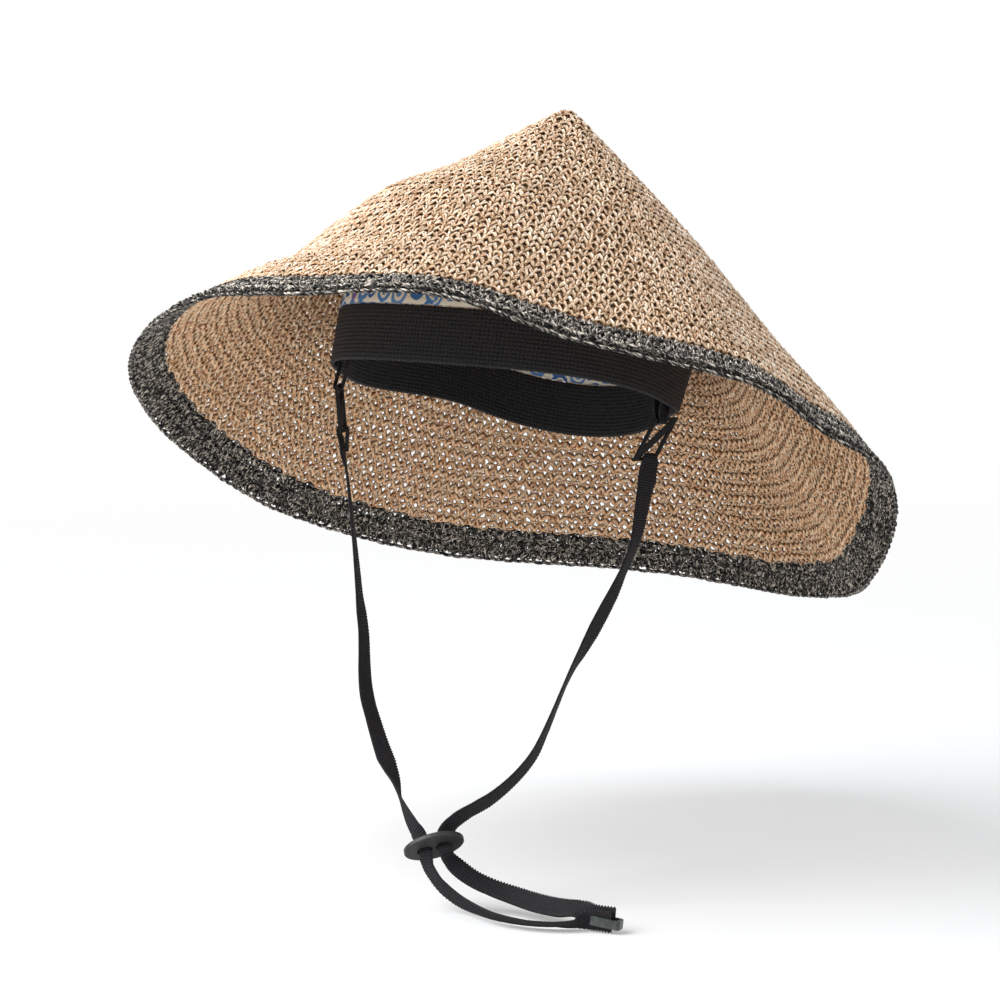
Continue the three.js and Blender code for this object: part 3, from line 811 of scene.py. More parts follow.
        # Colour: random grain plus painted shade in the grooves and painted highlight on the ribs
        shade = nodes.math("MULTIPLY_ADD", height, finish.rib_painted_shade, grain)
        stops = (
            (at, tuple(factor * part for part in finish.colour))
            for at, factor in (finish.dark, finish.pale)
        )
        shader.inputs["Roughness"].default_value = finish.roughness
        self._dress(nodes, shader, finish, nodes.ramp(shade, *stops), height)
        return material

    def _plain(self, finish: PlainFinish) -> bpy.types.Material:
        """Material of a moulded or woven piece with a fine grain."""
        material, nodes, shader = self._start(finish.name)
        place = nodes.add("TexCoord").outputs["Object"]
        grain = nodes.add("TexNoise", {"Vector": place, "Scale": finish.grain, "Detail": 3.0}).outputs[0]
        colour = nodes.ramp(
            grain, (finish.colour_at, finish.colour), (finish.accent_at, finish.accent)
        )
        smoothest = finish.roughness - finish.rough_spread / 2
        rough = nodes.math("MULTIPLY_ADD", grain, finish.rough_spread, smoothest)
        nodes.join(rough, shader.inputs["Roughness"])
        self._dress(nodes, shader, finish, colour, grain)
        return material

    def _printed(self, finish: PrintFinish) -> bpy.types.Material:
        """Cream cotton printed with round, petal and bar motifs in blues, with a violet here and there."""
        material, nodes, shader = self._start(finish.name)
        uv = nodes.add("UVMap", uv_map="UVMap").outputs["UV"]
        warp = nodes.add("TexNoise", {"Vector": uv, "Scale": finish.warp, "Detail": 1.0})
        bend = (finish.warp_reach, finish.warp_reach, 0)
        bent = nodes.add("VectorMath", {0: warp.outputs["Color"], 1: bend, 2: uv}, operation="MULTIPLY_ADD")
        cell = nodes.add("TexVoronoi", {
            "Vector": bent.outputs[0], "Scale": finish.cells, "Randomness": finish.cell_spread,
        })
        kind = nodes.add("SeparateColor", {0: cell.outputs["Color"]}).outputs
        reach = cell.outputs["Distance"]
        disc = nodes.math("LESS_THAN", reach, finish.disc)
        from_ring = nodes.math("ABSOLUTE", nodes.math("SUBTRACT", reach, finish.ring))
        rounds = nodes.math("MAXIMUM", disc, nodes.math("LESS_THAN", from_ring, finish.ring_half))
        wave = nodes.math("SINE", nodes.math("MULTIPLY", reach, finish.bars))
        bars = nodes.math("GREATER_THAN", wave, finish.bar_from)
        barred = nodes.math("MULTIPLY", nodes.math("LESS_THAN", reach, finish.petal), bars)
        is_round = nodes.math("LESS_THAN", kind[0], finish.rounds)
        is_barred = nodes.math("SUBTRACT", 1.0, is_round)
        shown_rounds = nodes.math("MULTIPLY", rounds, is_round)
        shape = nodes.math("ADD", shown_rounds, nodes.math("MULTIPLY", barred, is_barred))
        colour = nodes.mix(shape, finish.cloth, nodes.ramp(kind[1], *finish.inks))
        weave = nodes.add("TexWave", {"Vector": uv, "Scale": finish.weave, "Distortion": 0.4})
        shader.inputs["Roughness"].default_value = finish.roughness
        self._dress(nodes, shader, finish, colour, weave.outputs[1])
        return material

    @staticmethod
    def _uv_parts(nodes: NodeTree, name: str = "UVMap") -> list[Socket]:
        """The two coordinates of a texture map."""
        uv = nodes.add("UVMap", uv_map=name).outputs["UV"]
        return nodes.add("SeparateXYZ", {0: uv}).outputs[:2]

    @staticmethod
    def _dress(
        nodes: NodeTree, shader: bpy.types.Node, finish: Finish, colour: Socket,
        height: Socket,
    ) -> None:
        """Gives a shader its colour, its finish's gloss and a bump of a height."""
        nodes.join(colour, shader.inputs["Base Color"])
        shader.inputs["Specular IOR Level"].default_value = finish.gloss
        relief = {"Height": height, "Strength": finish.bump, "Distance": finish.bump_depth}
        nodes.join(nodes.add("Bump", relief).outputs[0], shader.inputs["Normal"])

    def _start(self, name: str) -> tuple[bpy.types.Material, NodeTree, bpy.types.Node]:
        """Empty material with its shader joined to the output."""
        material = bpy.data.materials.new(name)
        material.use_nodes = True
        material.node_tree.nodes.clear()
        nodes = NodeTree(material.node_tree)
        shader = nodes.add("BsdfPrincipled")
        output = nodes.add("OutputMaterial")
        nodes.join(shader.outputs[0], output.inputs[0])
        return material, nodes, shader


def finish_piece(
    built: bpy.types.Object, node: str, material: bpy.types.Material
) -> bpy.types.Object:
    """Gives a new piece its material and puts it in place of a CAD node.

    Args:
        built: the piece.
        node: CAD node and material slot that it stands for.
        material: its material.

    Returns:
        The piece.
    """
    built.data.materials.clear()
    built.data.materials.append(material)
    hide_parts(node)
    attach(built, "root")
    return built


@dataclass(frozen=True)
class Bar:
    """Yarn that runs straight round in each course, in mm.

    Over one stitch, t from 0 to 2 pi, it lies at along = place - rise cos t and
    depth = depth - swing cos t. It has a painted light for its outward side and one for its inward
    side, with painted shade where it lies deeper in the knit or against other yarn, and broad is its
    breadth as a share of its thickness.
    """

    yarn: float
    place: float
    rise: float
    depth: float
    swing: float
    bright: float
    inward_painted_light: float
    samples: int
    broad: float


@dataclass(frozen=True)
class Looseness:
    """How far stitches stray, in mm, or as a share of their size or brightness.

    Each is a spread but the phase, which is the greatest turn of a whole course, and the limit,
    which caps every stray in spreads.
    """

    limit: float = 1.8
    phase: float = 0.9
    sideways: float = 0.65
    down: float = 0.65
    reach: float = 0.13
    crown: float = 0.15
    bar_rise: float = 0.3
    bar_depth: float = 0.08
    loop_bright: float = 0.14
    bar_bright: float = 0.1
    bar_dim: float = 0.08


@dataclass(frozen=True)
class KnitGauge:
    """Sizes of the knit in mm: stitch and course, yarn, the loop's form and its two bars.

    Over one stitch, t from 0 to 2 pi, the loop's yarn runs as across = wale t / 2 pi + neck sin 2t,
    along = reach cos t and depth = crown cos 2t, so neighbouring legs lean together at the top.
    The front bar arches over the gap between two legs, and the back bar crosses it inside. Each
    course starts a drift further round than the one above it. Courses nearer the tip than the first
    of the tip shares reach only the second of them. The border's courses share what is left of it
    past border_short, and its yarn stays border_start and border_end off its edges.
    """

    wale: float = 4.3
    pitch: float = 5.7
    mean_cosine: float = 0.72
    courses: int = 38
    first_course: float = 0.6
    tip_shares: tuple[float, float] = (0.03, 0.55)
    least_down: float = 0.8
    straw_end: float = -0.1
    border_courses: int = 3
    border_first: float = 0.55
    border_short: float = 3.8
    border_start: float = 0.6
    border_end: float = 2.5
    border_thicker: float = 0.1
    yarn: float = 1.46
    neck: float = 1.15
    neck_share: float = 0.27
    overlap: float = 2.0
    crown: float = 0.58
    drift: float = 1.0
    # Painted shade of the loops: the outward side's painted light where the yarn dives into the knit, and
    # the inward side's painted light at most and its drop where the loop lies outermost
    dived_leg_painted_light: float = 0.08
    inward_loop_painted_light: tuple[float, float] = (0.92, 0.35)
    front: Bar = Bar(
        yarn=1.3, place=2.3, rise=1.05, depth=0.72, swing=0.34, bright=0.95, inward_painted_light=0.3,
        samples=4, broad=1.0,
    )
    back: Bar = Bar(
        yarn=1.55, place=0.5, rise=0.9, depth=1.6, swing=0.3, bright=0.06, inward_painted_light=0.9,
        samples=4, broad=1.75,
    )
    loose: Looseness = Looseness()
    gores: int = 8
    least_wales: float = 1.6
    samples: int = 10
    sides: int = 4


class KnittedCone:
    """Straw cone and dark border as yarn: one closed ring of loops and two of bars for each course."""

    PIECES = (
        ("crown_knit_top", 0, 19), ("crown_knit_middle", 19, 27),
        ("crown_knit_lower", 27, 33), ("crown_knit_foot", 33, None),
    )
    NO_LIMIT = -400.0
    FIRST_SEED = 100

    def __init__(self, finishes: Finishes, gauge: KnitGauge = KnitGauge()) -> None:
        self.finishes = finishes
        self.gauge = gauge

    def wale_edges(self, share: float, turn: float) -> np.ndarray:
        """Headings of the wale edges of one course.

        Wales run beside each gore's middle line at a whole number of pitches, so the one next to a
        gore's seam takes up what is left.

        Args:
            share: course's distance from the tip as a share of the cone's slant to the border.
            turn: how far the course is turned, in degrees.

        Returns:
            Edges in degrees, without the closing one.
        """
        wale = self.gauge.wale
        span = 360 / self.gauge.gores
        edges = []
        for gore in range(self.gauge.gores):
            middle = (gore + 0.5) * span - turn
            slope = np.radians(CONE.generator(SLOPE, np.array(middle)))
            reach = share * (CONE.generator(SLANT, np.array(middle)) - CONE.border)
            half = np.radians(span / 2) * np.cos(slope)
            if 2 * reach * half / wale < self.gauge.least_wales:
                edges.append([middle - span / 2])
                continue
            count = max(1, round(float(reach * half / wale)))
            inner = np.arange(1, count) * wale / reach
            offset = np.arcsin(np.minimum(inner, 0.95)) / half * span / 2
            edges.append(
                np.concatenate([[middle - span / 2], middle - offset[::-1], [middle], middle + offset])
            )
        return np.concatenate(edges)

    @staticmethod
    def uneven_start(heading: np.ndarray) -> np.ndarray:
        """Uneven line, in mm along the cone, where the dark yarn takes over from the straw."""
        fine = 0.8 * np.sin(np.radians(88 * heading))
        return fine + 0.5 * np.sin(np.radians(37 * heading + 50))

    def course(
        self, share: float, pitch: float, index: int, limits: tuple[float, float],
        thicker: float = 0.0,
    ) -> list[Ring]:
        """Yarn of one course.

        Args:
            share: see wale_edges; over 1 on the border.
            pitch: distance from course to course, in mm.
            index: number of the course, which sets its turn and seeds its small unevenness.
            limits: least and greatest distance past the border's start, in mm. One of less than
                1 mm follows the uneven start of the border.
            thicker: what is added to the yarn's diameter.

        Returns:
            The ring of loops and the two bars.
        """
        gauge, loose = self.gauge, self.gauge.loose
        turned_by = np.degrees(gauge.drift / (gauge.mean_cosine * gauge.pitch)) * np.log(index + 1.5)
        edges = self.wale_edges(share, turned_by)
        width = np.diff(np.append(edges, edges[0] + 360))
        random = np.random.default_rng(self.FIRST_SEED + index)
        uneven = random.normal(0, 1, (6, len(edges))).clip(-loose.limit, loose.limit)
        phase = loose.phase * random.uniform(-1, 1)
        rings = []
        for bar in (None, gauge.front, gauge.back):
            count = bar.samples if bar else gauge.samples
            angle = np.tile(2 * np.pi * np.arange(count) / count, len(edges))
            aside, longer, lower, deeper, brighter, higher = np.repeat(uneven, count, axis=1)
            start = np.repeat(edges, count)
            wide = np.repeat(width, count)
            slope = np.radians(CONE.generator(SLOPE, start))
            slant = CONE.generator(SLANT, start) - CONE.border
            along = share * slant if share <= 1 else slant + (share - 1) * CONE.border
            per_mm = 180 / (np.pi * np.cos(slope) * np.maximum(along, 2))
            bend = np.sin(angle / 2) ** 2
            heading = start + wide * angle / (2 * np.pi)
            heading = heading + (loose.sideways * aside * bend + phase) * per_mm
            lower = loose.down * lower * bend
            if bar is None:
                neck = np.minimum(gauge.neck * per_mm, gauge.neck_share * wide)
                heading = heading + neck * np.sin(2 * angle)
                reach = 0.5 * (pitch + gauge.overlap) * (1 + loose.reach * longer)
                near_tip, tip_reach = gauge.tip_shares
                down = along + (tip_reach if share < near_tip else 1.0) * reach * np.cos(angle) + lower
                yarn = gauge.yarn + thicker
                crown = 1 + np.cos(2 * angle) * (1 + loose.crown * deeper)
                depth = yarn / 2 + gauge.crown * crown
                # Painted light: the outward side lit most where the loop lies outermost and in painted
                # shade where it dives into the knit; the inward side painted darker where the loop lies
                # outermost
                seen = 0.5 - 0.5 * np.cos(2 * angle)
                bright = gauge.dived_leg_painted_light + (1 - gauge.dived_leg_painted_light) * seen
                bright = bright + loose.loop_bright * brighter * seen
                inside = gauge.inward_loop_painted_light[0] - gauge.inward_loop_painted_light[1] * seen
            else:
                rise = bar.rise + loose.bar_rise * higher
                down = along + (bar.place * pitch / gauge.pitch + lower) - rise * np.cos(angle)
                yarn = bar.yarn + thicker
                depth = bar.depth - bar.swing * np.cos(angle) + loose.bar_depth * deeper
                # Painted light of the bar, darker where it lies deeper in the knit
                bright = bar.bright * (0.75 + 0.25 * np.cos(angle) + loose.bar_bright * brighter)
                inside = bar.inward_painted_light + loose.bar_dim * deeper
            heading = np.mod(heading, 360)
            wave = self.uneven_start(heading)
            low, high = (slant + limit + (wave if abs(limit) < 1 else 0) for limit in limits)
            down = np.maximum(np.clip(down, low, high), gauge.least_down)
            rings.append(Ring(
                CONE.point(heading, down, depth), CONE.normal(heading, down),
                np.stack([bright, inside], axis=-1), yarn / 2, bar.broad if bar else 1.0,
            ))
        return rings

    def build(self) -> list[bpy.types.Object]:
        """Builds the cone's yarn in four pieces from the tip down, and the border's.

        Returns:
            The five pieces.
        """
        gauge = self.gauge
        pitch = (float(GENERATORS[:, SLANT].mean()) - CONE.border) / gauge.courses
        straw_limits = (self.NO_LIMIT, gauge.straw_end)
        rows = [
            self.course((k + gauge.first_course) / gauge.courses, pitch, k, straw_limits)
            for k in range(gauge.courses)
        ]
        pieces = []
        for name, low, high in self.PIECES:
            chosen = [ring for row in rows[low:high] for ring in row]
            yarn = yarn_mesh(name, chosen, gauge.sides)
            pieces.append(finish_piece(yarn, "crown_knit", self.finishes.of(STRAW)))
        dark_pitch = (CONE.border - gauge.border_short) / gauge.border_courses
        limits = (gauge.border_start, CONE.border - gauge.border_end)
        dark = []
        for i in range(gauge.border_courses):
            share = 1 + (i + gauge.border_first) * dark_pitch / CONE.border
            dark += self.course(share, dark_pitch, gauge.courses + i, limits, gauge.border_thicker)
        border = yarn_mesh("brim_border_knit", dark, gauge.sides)
        pieces.append(finish_piece(border, "brim_border", self.finishes.of(CHARCOAL)))
        return pieces


@dataclass(frozen=True)
class ChainSize:
    """Chained edge in mm: link pitch, half the distance between its two runs, yarn radius.

    Over one link, t from 0 to 2 pi, the yarn runs as round the rim = pitch (t / 2 pi + swing sin t),
    across = -half cos t and up = lift cos 2t. Stray is how uneven the half and the lift are, and
    tilt is the chain's turn out of the wall, in degrees.
    """

    pitch: float = 5.0
    swing: float = 0.75
    swing_stray: float = 0.04
    half: float = 1.3
    lift: float = 0.6
    stray: float = 0.08
    tilt: float = 38.0
    yarn: float = 0.86
    yarn_swelling: float = 0.1
    from_rim: float = 1.9
    # Painted light along each link, middle value and swing: painted shade where the yarn dives under the
    # next link
    bright: tuple[float, float] = (0.5, 0.45)
    samples: int = 14
    sides: int = 5


class ChainEdge:
    """Chain of interlocked loops round the free rim."""

    SEED = 7

    def __init__(self, finishes: Finishes, size: ChainSize = ChainSize()) -> None:
        self.finishes = finishes
        self.size = size

    def build(self) -> bpy.types.Object:
        """Builds the chain.

        Returns:
            The chain.
        """
        size = self.size
        fine = np.linspace(0, 360, 2001)
        line = CONE.point(fine, CONE.generator(SLANT, fine) - size.from_rim, CONE.wall / 2)
        length = line_length(line)
        links = round(length[-1] / size.pitch)
        pitch = length[-1] / links
        t = np.tile(2 * np.pi * np.arange(size.samples) / size.samples, links)
        link = np.repeat(np.arange(links), size.samples)
        random = np.random.default_rng(self.SEED)
        uneven = np.repeat(random.normal(0, 1, (3, links)), size.samples, axis=1)
        swing = size.swing + size.swing_stray * uneven[0]
        place = pitch * (link + t / (2 * np.pi) + swing * np.sin(t))
        heading = np.interp(np.mod(place, length[-1]), length, fine)
        across = -size.half * (1 + size.stray * uneven[1]) * np.cos(t)
        up = size.lift * np.cos(2 * t) + size.stray * uneven[2]
        tilt = np.radians(size.tilt)
        slant = CONE.generator(SLANT, heading) - size.from_rim
        down = slant + across * np.cos(tilt) + up * np.sin(tilt)
        depth = CONE.wall / 2 + across * np.sin(tilt) - up * np.cos(tilt)
        ring = CONE.point(heading, down, depth)
        # Painted shade where the yarn dives under the next link
        bright = size.bright[0] + size.bright[1] * np.cos(2 * t)
        chain = Ring(ring, CONE.normal(heading, down), np.stack([bright, bright], axis=-1), size.yarn)
        piece = yarn_mesh("rim_edge_chain", [chain], size.sides, size.yarn_swelling)
        return finish_piece(piece, "rim_edge", self.finishes.of(CHARCOAL))


@dataclass(frozen=True)
class HeadbandSize:
    """Edge loops round the headband, and in mm their depth, the soft edge and the face's inset."""

    loops: int = 410
    loop_depth: float = 0.28
    edge_depth: float = 0.55
    edge_height: float = 0.8
    inset: float = 0.05
    steps_a_loop: int = 3
    rows: int = 10


class Headband:
    """Elastic ring with ribs along it and small loops on both edges."""

    def __init__(self, finishes: Finishes, size: HeadbandSize = HeadbandSize()) -> None:
        self.finishes = finishes
        self.size = size

    def build(self) -> bpy.types.Object:
        """Builds the ring: each edge moves up and down as a cosine, and the section has soft edges.

        Returns:
            The ring.
        """
        size = self.size
        steps = size.loops * size.steps_a_loop
        heading = (360 / steps * np.arange(steps))[:, None]
        half = BAND.height / 2 - size.loop_depth / 2
        share = np.sin(np.linspace(-90, 90, size.rows) * np.pi / 180)[None, :]
        loop = size.loop_depth / 2 * np.cos(np.radians(heading) * size.loops)
        level = share * (half + loop * np.abs(share) ** 8)
        inward = np.clip((1 - np.abs(share)) * half / size.edge_height, 0, 1)
        edge = size.edge_depth * (1 - np.sqrt(inward))
        front = BAND.point(heading, size.inset + edge, level)
        back = BAND.point(heading, BAND.wall - size.inset - edge[:, ::-1], level[:, ::-1])
        verts = np.concatenate([front, back], axis=1)
        faces, uv = grid_faces(steps, 2 * size.rows, True, True)
        middle = BAND.point(np.linspace(0, 360, 361), BAND.wall / 2, 0.0)
        around = np.linalg.norm(np.diff(middle, axis=0), axis=1).sum()
        height = np.concatenate([share[0], share[0, ::-1], share[0, :1]]) * half
        column = np.rint(uv[..., 1] * 2 * size.rows).astype(int)
        uv[..., 1] = height[column]
        uv[..., 0] *= around
        piece = make_object("headband_elastic", verts.reshape(-1, 3), faces, uv)
        finish_piece(piece, "headband", self.finishes.of(BAND_BLACK))
        return piece


@dataclass(frozen=True)
class LiningSize:
    """Lining in mm: its faces' insets, its room at both ends, its lean, its bulge and its folds."""

    outer: float = 0.1
    inner: float = 1.1
    foot_gap: float = 0.3
    headroom: float = 0.7
    lean: float = 0.12
    bulge: float = 1.5
    fold: float = 0.55
    folds: tuple[int, ...] = (9, 14, 23, 37, 52)
    fold_heights: tuple[float, float] = (0.2, 0.6)
    fold_phase: float = 6.28
    longest: float = 100.0
    rows: int = 18
    steps: int = 360


class Lining:
    """Printed fabric wall from the headband up to the cone, with soft upright folds."""

    SEED = 31

    def __init__(self, finishes: Finishes, size: LiningSize = LiningSize()) -> None:
        self.finishes = finishes
        self.size = size

    def wall(self, inset: float) -> np.ndarray:
        """One face of the wall.

        Each upright line leaves the headband's top edge along the ring's axis, leaned a little
        inward, and ends under the cone where the room left is the headroom.

        Args:
            inset: how far inside the outer face.

        Returns:
            (steps, rows, 3) points.
        """
        size = self.size
        heading = 360 / size.steps * np.arange(size.steps)
        middle = BAND.point(heading, inset, 0.0)
        foot = BAND.point(heading, inset, BAND.height / 2 + size.foot_gap)
        up = unit(BAND.point(heading, inset, BAND.height) - middle)
        inward = -unit(middle * np.array([1, 1, 0]))
        direction = unit(up + size.lean * inward)
        low, high = np.zeros(size.steps), np.full(size.steps, size.longest)
        for _ in range(30):
            reach = (low + high) / 2
            free = CONE.room_under(foot + reach[:, None] * direction) > size.headroom
            low, high = np.where(free, reach, low), np.where(free, high, reach)
        share = np.linspace(0, 1, size.rows)[None, :, None]
        random = np.random.default_rng(self.SEED)
        waves = np.zeros(size.steps)
        for count in size.folds:
            height = random.uniform(*size.fold_heights)
            phase = random.uniform(0, size.fold_phase)
            waves = waves + height * np.sin(np.radians(heading) * count + phase)
        bulge = (size.bulge + size.fold * waves)[:, None, None] * np.sin(np.pi * share)
        return foot[:, None] + (low[:, None] * direction)[:, None] * share + bulge * inward[:, None]

    def build(self) -> bpy.types.Object:
        """Builds the wall.

        Returns:
            The lining.
        """
        size = self.size
        outer, inner = self.wall(size.outer), self.wall(size.inner)
        verts = np.concatenate([outer, inner[:, ::-1]], axis=1)
        faces, uv = grid_faces(size.steps, 2 * size.rows, True, True)
        ring = np.linalg.norm(np.diff(outer[:, 0], axis=0, append=outer[:1, 0]), axis=1).sum()
        rise = np.linalg.norm(outer[:, -1] - outer[:, 0], axis=1)
        uv[..., 0] *= ring
        from_middle = np.abs(uv[..., 1] * 2 * size.rows - size.rows + 0.5)
        uv[..., 1] = from_middle / size.rows * rise.mean()
        piece = make_object("lining_print", verts.reshape(-1, 3), faces, uv)
        finish_piece(piece, "lining", self.finishes.of(COTTON))
        return piece


@dataclass(frozen=True)
class Fitting:
    """Places of one ear's tab and link, in mm."""

    side: Side
    heading: float
    tab_top: Point
    top_bar: Point
    bottom_bar: Point
    along: Point
    shift: float


FITTINGS = (
    Fitting(
        Side.LEFT, heading=93, tab_top=(66.4, 3.2, -2.4), top_bar=(68.7, 4.0, -15.8),
        bottom_bar=(61.4, -1.9, -32.4), along=(0.7, 0.714, 0), shift=1.9,
    ),
    Fitting(
        Side.RIGHT, heading=-66, tab_top=(-62.4, -35.8, 8.6), top_bar=(-64.3, -38.4, -2.4),
        bottom_bar=(-62.6, -38.6, -21.5), along=(-0.2, 0.98, 0), shift=0.8,
    ),
)


@dataclass(frozen=True)
class TabSize:
    """Cloth tab: widths at the band and at the bar, radii of both faces, and the gathers, in mm.

    Seam is the turn in degrees to each side over which the band's direction is taken, and steps
    are those round each end, along each side and across.
    """

    wide: float = 10.0
    narrow: float = 4.0
    outer: float = 2.05
    inner: float = 1.4
    gather: float = 0.16
    gathers: float = 9.0
    seam: float = 4.0
    end_steps: tuple[int, int] = (15, 13)
    side_steps: int = 14
    columns: int = 13


class ClothTab:
    """Satin loop from inside the headband round the link's top bar."""

    def __init__(self, finishes: Finishes, fitting: Fitting, size: TabSize = TabSize()) -> None:
        self.finishes = finishes
        self.fitting = fitting
        self.size = size

    def seam(self, bar: np.ndarray) -> np.ndarray:
        """Direction of the headband at the tab, on the bar's side."""
        heading, turn = self.fitting.heading, self.size.seam
        ends = [BAND.point(heading + offset, BAND.wall, 0.0) for offset in (turn, -turn)]
        seam = unit(ends[0] - ends[1])
        return seam if seam @ bar > 0 else -seam

    def build(self) -> bpy.types.Object:
        """Builds the loop: a closed strip round the bar, wide at the band and gathered at the bar.

        Returns:
            The loop.
        """
        place, size = self.fitting, self.size
        bar = unit(np.array(place.along))
        top = np.array(place.tab_top)
        bottom = np.array(place.top_bar) - place.shift * bar
        down = unit(bottom - top)
        (top_end, bottom_end), side = size.end_steps, size.side_steps
        turn = np.concatenate([
            np.linspace(-90, 90, top_end), np.full(side, 90), np.linspace(90, 270, bottom_end),
            np.full(side, 270),
        ])
        share = np.concatenate([
            np.ones(top_end), np.linspace(0.95, 0.05, side), np.zeros(bottom_end),
            np.linspace(0.05, 0.95, side),
        ])
        twist = smooth(0.3, 1, share)[:, None]
        across = unit(self.seam(bar) * (1 - twist) + bar * twist)
        away = unit(np.cross(across, down))
        middle = top + (bottom - top) * share[:, None]
        half = (size.wide + (size.narrow - size.wide) * smooth(0.2, 1, share)) / 2
        angle = np.radians(turn)
        columns = np.linspace(-1, 1, size.columns)
        gather = size.gather * np.cos(columns * size.gathers)[None, :] * twist
        faces_of_cloth = [
            middle[:, None]
            + (radius + gather)[..., None] * (away * np.sin(angle)[:, None])[:, None]
            + (radius + gather)[..., None] * (down * np.cos(angle)[:, None])[:, None]
            + (half[:, None] * columns[None, :])[..., None] * across[:, None]
            for radius in (size.outer, size.inner)
        ]
        verts = np.concatenate([faces_of_cloth[0], faces_of_cloth[1][:, ::-1]], axis=1)
        faces, uv = grid_faces(len(turn), 2 * size.columns, True, True)
        name = place.side.value
        piece = make_object(f"tab_{name}_satin", verts.reshape(-1, 3), faces[:, ::-1], uv[:, ::-1])
        finish_piece(piece, f"tab_{name}", self.finishes.of(SATIN))
        return piece


@dataclass(frozen=True)
class TapeSize:
    """Strap tape in mm.

    It narrows round its fold on the link and where it is threaded. Its ribs cross it, slanted by
    some, and small loops stand out along one edge.
    """

    width: float = 8.6
    thickness: float = 1.2
    fold_width: float = 4.0
    fold_leg: float = 9.0
    threaded_width: float = 5.0
    threaded_thickness: float = 2.2
    threaded_half: float = 2.5
    threaded_spread: float = 5.0
    bar_radius: float = 0.7
    bar_gap: float = 0.6
    leg_gap: float = 0.3
    rib: float = 1.08
    rib_height: float = 0.04
    slanted_height: float = 0.05
    slant: float = 2.5
    loop_pitch: float = 1.35
    loop_reach: float = 0.8
    step: float = 0.27
    table: float = -213.0


